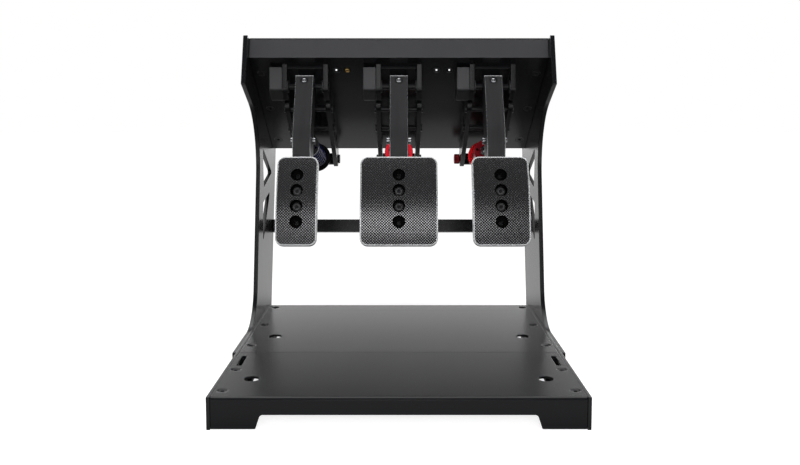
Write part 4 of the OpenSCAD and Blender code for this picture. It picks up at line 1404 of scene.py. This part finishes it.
@dataclass
class StackStrut(Strut):
    """Strut with a stack of elastomer rings."""

    ring_r: float = 16.0
    bore_r: float = 9.3
    bulge: float = 1.6
    bulge_power: float = 0.6
    rings: int = 3
    washer_t: float = 1.2
    washer_out: float = 0.8
    washer_cut: float = 0.3

    def ring_profile(self, start: float, width: float) -> list[tuple[float, float]]:
        """Section of a ring that bulges between its round edges.

        Args:
            start: Station of its first face in millimetres.
            width: Its width in millimetres.

        Returns:
            Station and radius of each point, in millimetres.
        """
        angle = np.linspace(0, math.pi, num=13)
        station = start + width * (0.5 - 0.5 * np.cos(angle))
        radius = self.ring_r - self.bulge + self.bulge * np.clip(np.sin(angle), 0, 1) ** self.bulge_power
        return [(start, self.bore_r), *zip(station, radius), (start + width, self.bore_r)]

    def build(self) -> None:
        """Build the strut, its rings and the washers between them."""
        super().build()
        first, last = self.reach(f"{self.name}_spring")
        axis = self.spindle()
        width = (last - first - (self.rings - 1) * self.washer_t) / self.rings
        for k in range(self.rings):
            start = first + k * (width + self.washer_t)
            mesh = axis.turned(f"{self.name}_elastomer_{k}", self.ring_profile(start, width))
            solid = f"{self.name}_spring" if k == 0 else ""
            self.shrink(add_piece(mesh, RUBBER, f"{self.name}_strut", solid))
            if k + 1 < self.rings:
                face, far = start + width, start + width + self.washer_t
                r, bore, cut = self.ring_r + self.washer_out, self.bore_r, self.washer_cut
                rim = [(face, r - cut), (face + cut, r), (far - cut, r), (far, r - cut)]
                section = [(face, bore), *rim, (far, bore)]
                washer = axis.turned(f"{self.name}_stack_washer_{k}", section)
                self.shrink(add_piece(washer, STEEL, f"{self.name}_strut"))


@dataclass
class Knob:
    """Knurled adjusting knob at the rear pin of the throttle.

    Sizes are in millimetres.
    """

    radius: float = 7.6
    bore: float = 4.1
    grooves: int = 36
    groove_depth: float = 0.35
    chamfer: float = 0.9
    groove_end: float = 0.2

    def build(self) -> None:
        """Cylinder whose radius falls in even grooves, with plain chamfers at both ends."""
        low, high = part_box("throttle_knob")
        pin = joint_place("knob_turn")
        pin[0] = low.x
        width = (high.x - low.x) / MM
        axis = Spindle(pin, RIGHT, np.array([0.0, 1.0, 0.0]))
        c, r, end = self.chamfer, self.radius, self.groove_end
        station = np.array([0, 0, c, c + end, width - c - end, width - c, width, width])
        radius = np.array([self.bore, r - c, r, r, r, r, r - c, self.bore])
        cut = np.array([0, 0, 0, 1, 1, 0, 0, 0])
        per_groove = 8
        angle = np.linspace(0, 2 * np.pi, self.grooves * per_groove, endpoint=False)
        along, turn = np.meshgrid(station, angle)
        wave = 0.5 - 0.5 * np.cos(self.grooves * turn)
        reach = radius - self.groove_depth * cut * wave
        mesh = new_mesh(
            "throttle_knob_grip",
            axis.points(along * MM, reach * MM, turn),
            grid_quads(len(angle), len(station), True, True),
            smooth=False,
        )
        add_piece(mesh, DARK_RED, "knob", "throttle_knob")


@dataclass
class Fittings:
    """Bushes, pins and spacers that the pedals share."""

    plastic: tuple[str, ...] = ("axle_bushes",)
    steel: tuple[str, ...] = ("rear_pins", "cheek_spacers")

    def build(self) -> None:
        """Dress the shared fittings."""
        for node in self.plastic:
            dress(node, BLACK_PLASTIC, SMALL_EDGE)
        for node in self.steel:
            dress(node, BLACK_STEEL, SMALL_EDGE)


@dataclass(frozen=True)
class Reflections:
    """Brightness that glossy surfaces see by direction.

    In front there is a low band of light, narrow across, and an overhead light, with a weaker right side. Behind
    there is a bright horizon that fades upwards, glowing sides and the rear half of the overhead light. Each span
    is a smooth step over one part of the unit direction: across, depth or height.
    """

    front_dim: float = 0.08
    band: float = 2.10
    band_foot: Span = (0.05, 0.20)
    band_head: Span = (0.30, 0.46)
    band_end: Span = (0.03, 0.12)
    band_loss: float = 0.90
    overhead: float = 2.20
    overhead_foot: Span = (0.88, 0.97)
    right: Span = (0.04, 0.11)
    right_loss: float = 0.42
    rear_dim: float = 0.05
    horizon: float = 2.70
    horizon_head: Span = (0.14, 0.265)
    rear_overhead: float = 2.30
    rear_overhead_foot: Span = (0.60, 0.85)
    side: float = 0.85
    side_start: Span = (0.12, 0.30)
    side_foot: Span = (0.20, 0.30)
    turn: Span = (-0.15, 0.15)

    def towards(self, direction: Shade, graph: Graph) -> Shade:
        """Brightness in a direction.

        Args:
            direction: Unit direction away from the surface.
            graph: The nodes that it is added to.

        Returns:
            The brightness.
        """
        across, depth, height = (
            graph.node("ShaderNodeSeparateXYZ", inputs={0: direction}, output=name) for name in "XYZ"
        )
        spread = across.size()
        band = height.step(*self.band_foot) * (1 - height.step(*self.band_head))
        band = band * (1 - self.band_loss * spread.step(*self.band_end))
        front = self.front_dim + self.band * band + self.overhead * height.step(*self.overhead_foot)
        front = front * (1 - self.right_loss * across.step(*self.right))
        sides = spread.step(*self.side_start) * height.step(*self.side_foot)
        low = 1 - height.step(*self.horizon_head)
        high = height.step(*self.rear_overhead_foot)
        rear = self.rear_dim + self.horizon * low + self.rear_overhead * high + self.side * sides
        return front + depth.step(*self.turn) * (rear - front)


@dataclass(frozen=True)
class FloorGlow:
    """Brightness of the floor: nearly white to the camera, and dark under the part to glossy surfaces.

    Spans are smooth steps over a distance in metres: reach from the middle, and depth or across from it.
    """

    white: float = 0.84
    far_white: float = 0.16
    far: Span = (0.6, 1.6)
    dim: float = 0.04
    rear: float = 0.68
    rear_start: Span = (0.18, 0.40)
    front: float = 0.34
    front_end: Span = (-0.32, -0.20)
    ahead: float = 0.30
    ahead_end: Span = (-1.4, -0.8)
    side: float = 0.40
    side_start: Span = (0.30, 0.60)

    def to_camera(self, place: Shade, graph: Graph) -> Shade:
        """Brightness that the camera sees."""
        reach = graph.node("ShaderNodeVectorMath", {"operation": "LENGTH"}, {0: place}, output="Value")
        return self.white + self.far_white * reach.step(*self.far)

    def to_gloss(self, place: Shade, graph: Graph) -> Shade:
        """Brightness that glossy surfaces see.

        Args:
            place: Point of the floor.
            graph: The nodes that it is added to.

        Returns:
            The brightness.
        """
        across, depth = (graph.node("ShaderNodeSeparateXYZ", inputs={0: place}, output=name) for name in "XY")
        level = self.dim + self.rear * depth.step(*self.rear_start)
        level = level + self.front * (1 - depth.step(*self.front_end))
        level = level + self.ahead * (1 - depth.step(*self.ahead_end))
        return level + self.side * across.size().step(*self.side_start)


@dataclass(frozen=True)
class Softbox:
    """Rectangular soft light aimed at a point, in metres and watts."""

    name: str
    place: Point
    aim: Point
    size: tuple[float, float]
    power: float

    def build(self) -> None:
        """Hang the lamp. It lights the part and isn't seen in its gloss."""
        lamp = bpy.data.lights.new(self.name, "AREA")
        lamp.shape = "RECTANGLE"
        lamp.size, lamp.size_y = self.size
        lamp.energy = self.power
        made = bpy.data.objects.new(self.name, lamp)
        bpy.context.scene.collection.objects.link(made)
        made.location = self.place
        away = np.array(self.aim) - np.array(self.place)
        pitch = math.acos(-away[2] / np.linalg.norm(away))
        made.rotation_euler = (pitch, 0.0, math.atan2(-away[0], away[1]))
        made.visible_glossy = False


@dataclass
class Studio:
    """Pale floor, soft light and the camera at the photograph's place.

    Places are in metres, the camera's pitch in degrees.
    """

    floor_size: float = 24.0
    ambient: float = 0.06
    lights: Reflections = Reflections()
    glow: FloorGlow = FloorGlow()
    floor_pale: Colour = (0.45, 0.45, 0.45)
    floor_dark: Colour = (0.10, 0.10, 0.10)
    floor_roughness: float = 0.9
    softboxes: tuple[Softbox, ...] = (
        Softbox("top_softbox", (0.0, -0.5, 1.9), (0.0, 0.0, 0.25), (1.8, 1.2), 30.0),
        Softbox("front_softbox", (0.0, -1.7, 0.7), (0.0, 0.0, 0.25), (1.4, 0.6), 24.0),
        Softbox("left_softbox", (-1.6, -0.9, 1.0), (0.0, 0.0, 0.2), (0.8, 1.2), 7.0),
        Softbox("right_softbox", (1.6, -0.9, 1.0), (0.0, 0.0, 0.2), (0.8, 1.2), 7.0),
    )
    eye: Point = (0.0, -1.0482, 0.3263)
    pitch: float = 5.1
    lens: float = 36.0
    sensor: float = 36.0
    shift: tuple[float, float] = (0.0014, -0.0601)
    clip: Span = (0.02, 100.0)

    def seen(self, graph: Graph) -> tuple[Shade, Shade]:
        """Camera rays, and the glossy and transmission rays that show the backdrop in metal and glass.

        Args:
            graph: The nodes that it is added to.

        Returns:
            The two masks.
        """
        kinds = ("Camera", "Glossy", "Transmission")
        camera, glossy, through = (graph.node("ShaderNodeLightPath", output=f"Is {kind} Ray") for kind in kinds)
        return camera, glossy.larger(through)

    def backdrop(self) -> None:
        """White surroundings for the camera, a studio of soft lights for reflections."""
        world = bpy.data.worlds.new("studio")
        bpy.context.scene.world = world
        world.use_nodes = True
        graph = Graph(world.node_tree)
        camera, mirrored = self.seen(graph)
        direction = graph.node("ShaderNodeTexCoord", output="Generated")
        strength = mirrored * self.lights.towards(direction, graph) + (1 - mirrored) * self.ambient
        strength = strength * (1 - camera) + camera
        light = graph.node("ShaderNodeBackground", inputs={"Color": (1, 1, 1, 1), "Strength": strength})
        graph.node("ShaderNodeOutputWorld", inputs={"Surface": light})

    def floor(self) -> None:
        """Pale floor that keeps a light shadow, looks white to the camera and throws little light back."""
        half = self.floor_size / 2
        line = np.linspace(-half, half, 3)
        x, y = np.meshgrid(line, line)
        mesh = bpy.data.meshes.new("floor")
        mesh.from_pydata(np.stack([x, y, 0 * x], -1).reshape(-1, 3).tolist(), [], grid_quads(3, 3).tolist())
        made = bpy.data.materials.new("pale_floor")
        made.use_nodes = True
        graph = Graph(made.node_tree)
        camera, mirrored = self.seen(graph)
        place = graph.node("ShaderNodeTexCoord", output="Object")
        white, level = self.glow.to_camera(place, graph), self.glow.to_gloss(place, graph)
        glow = white * camera + (1 - camera) * mirrored * level
        shader = graph.node(
            "ShaderNodeBsdfPrincipled",
            inputs={
                "Base Color": graph.mix(camera, self.floor_dark, self.floor_pale),
                "Roughness": self.floor_roughness,
                "Specular IOR Level": 0.0,
                "Emission Color": graph.mix(glow, (0, 0, 0), (1, 1, 1)),
                "Emission Strength": 1.0,
            },
        )
        graph.node("ShaderNodeOutputMaterial", inputs={"Surface": shader})
        mesh.materials.append(made)
        piece = bpy.data.objects.new("floor", mesh)
        bpy.context.scene.collection.objects.link(piece)

    def camera(self) -> None:
        """Camera in front of the driver's side, pitched down."""
        data = bpy.data.cameras.new("camera")
        data.lens = self.lens
        data.sensor_width = self.sensor
        data.shift_x, data.shift_y = self.shift
        data.clip_start, data.clip_end = self.clip
        made = bpy.data.objects.new("camera", data)
        bpy.context.scene.collection.objects.link(made)
        made.location = self.eye
        made.rotation_euler = (math.radians(90.0 - self.pitch), 0.0, 0.0)
        bpy.context.scene.camera = made

    def build(self) -> None:
        """Set up the camera, the surroundings and the lamps."""
        bpy.context.scene.view_settings.view_transform = "Standard"
        self.camera()
        self.backdrop()
        self.floor()
        for softbox in self.softboxes:
            softbox.build()


def main() -> None:
    """Build the studio and every sub-assembly in order."""
    logging.basicConfig(level=logging.INFO, format="%(message)s")
    Studio().build()
    sub_assemblies = [
        Base(),
        Uprights(),
        Deck(),
        Fittings(),
        Pedal("clutch", pad_shift=-2.5, pad_half_w=26.0),
        Pedal("brake", pad_shift=0.0, pad_half_w=49.0),
        Pedal("throttle", pad_shift=2.5, pad_half_w=36.0),
        CoilStrut("clutch", BLACK_STEEL, GREY),
        StackStrut("brake", BRAKE_RED_PAINTED_SHADE, BLACK_STEEL),
        CoilStrut("throttle", RED, RED, paint_from=-1.0, coil_r=13.0, wire_d=3.4, turns=6.0, wire=STEEL),
        Knob(),
    ]
    for part in sub_assemblies:
        part.build()
        LOG.info("finished %s", type(part).__name__)


if __name__ == "__main__":
    main()
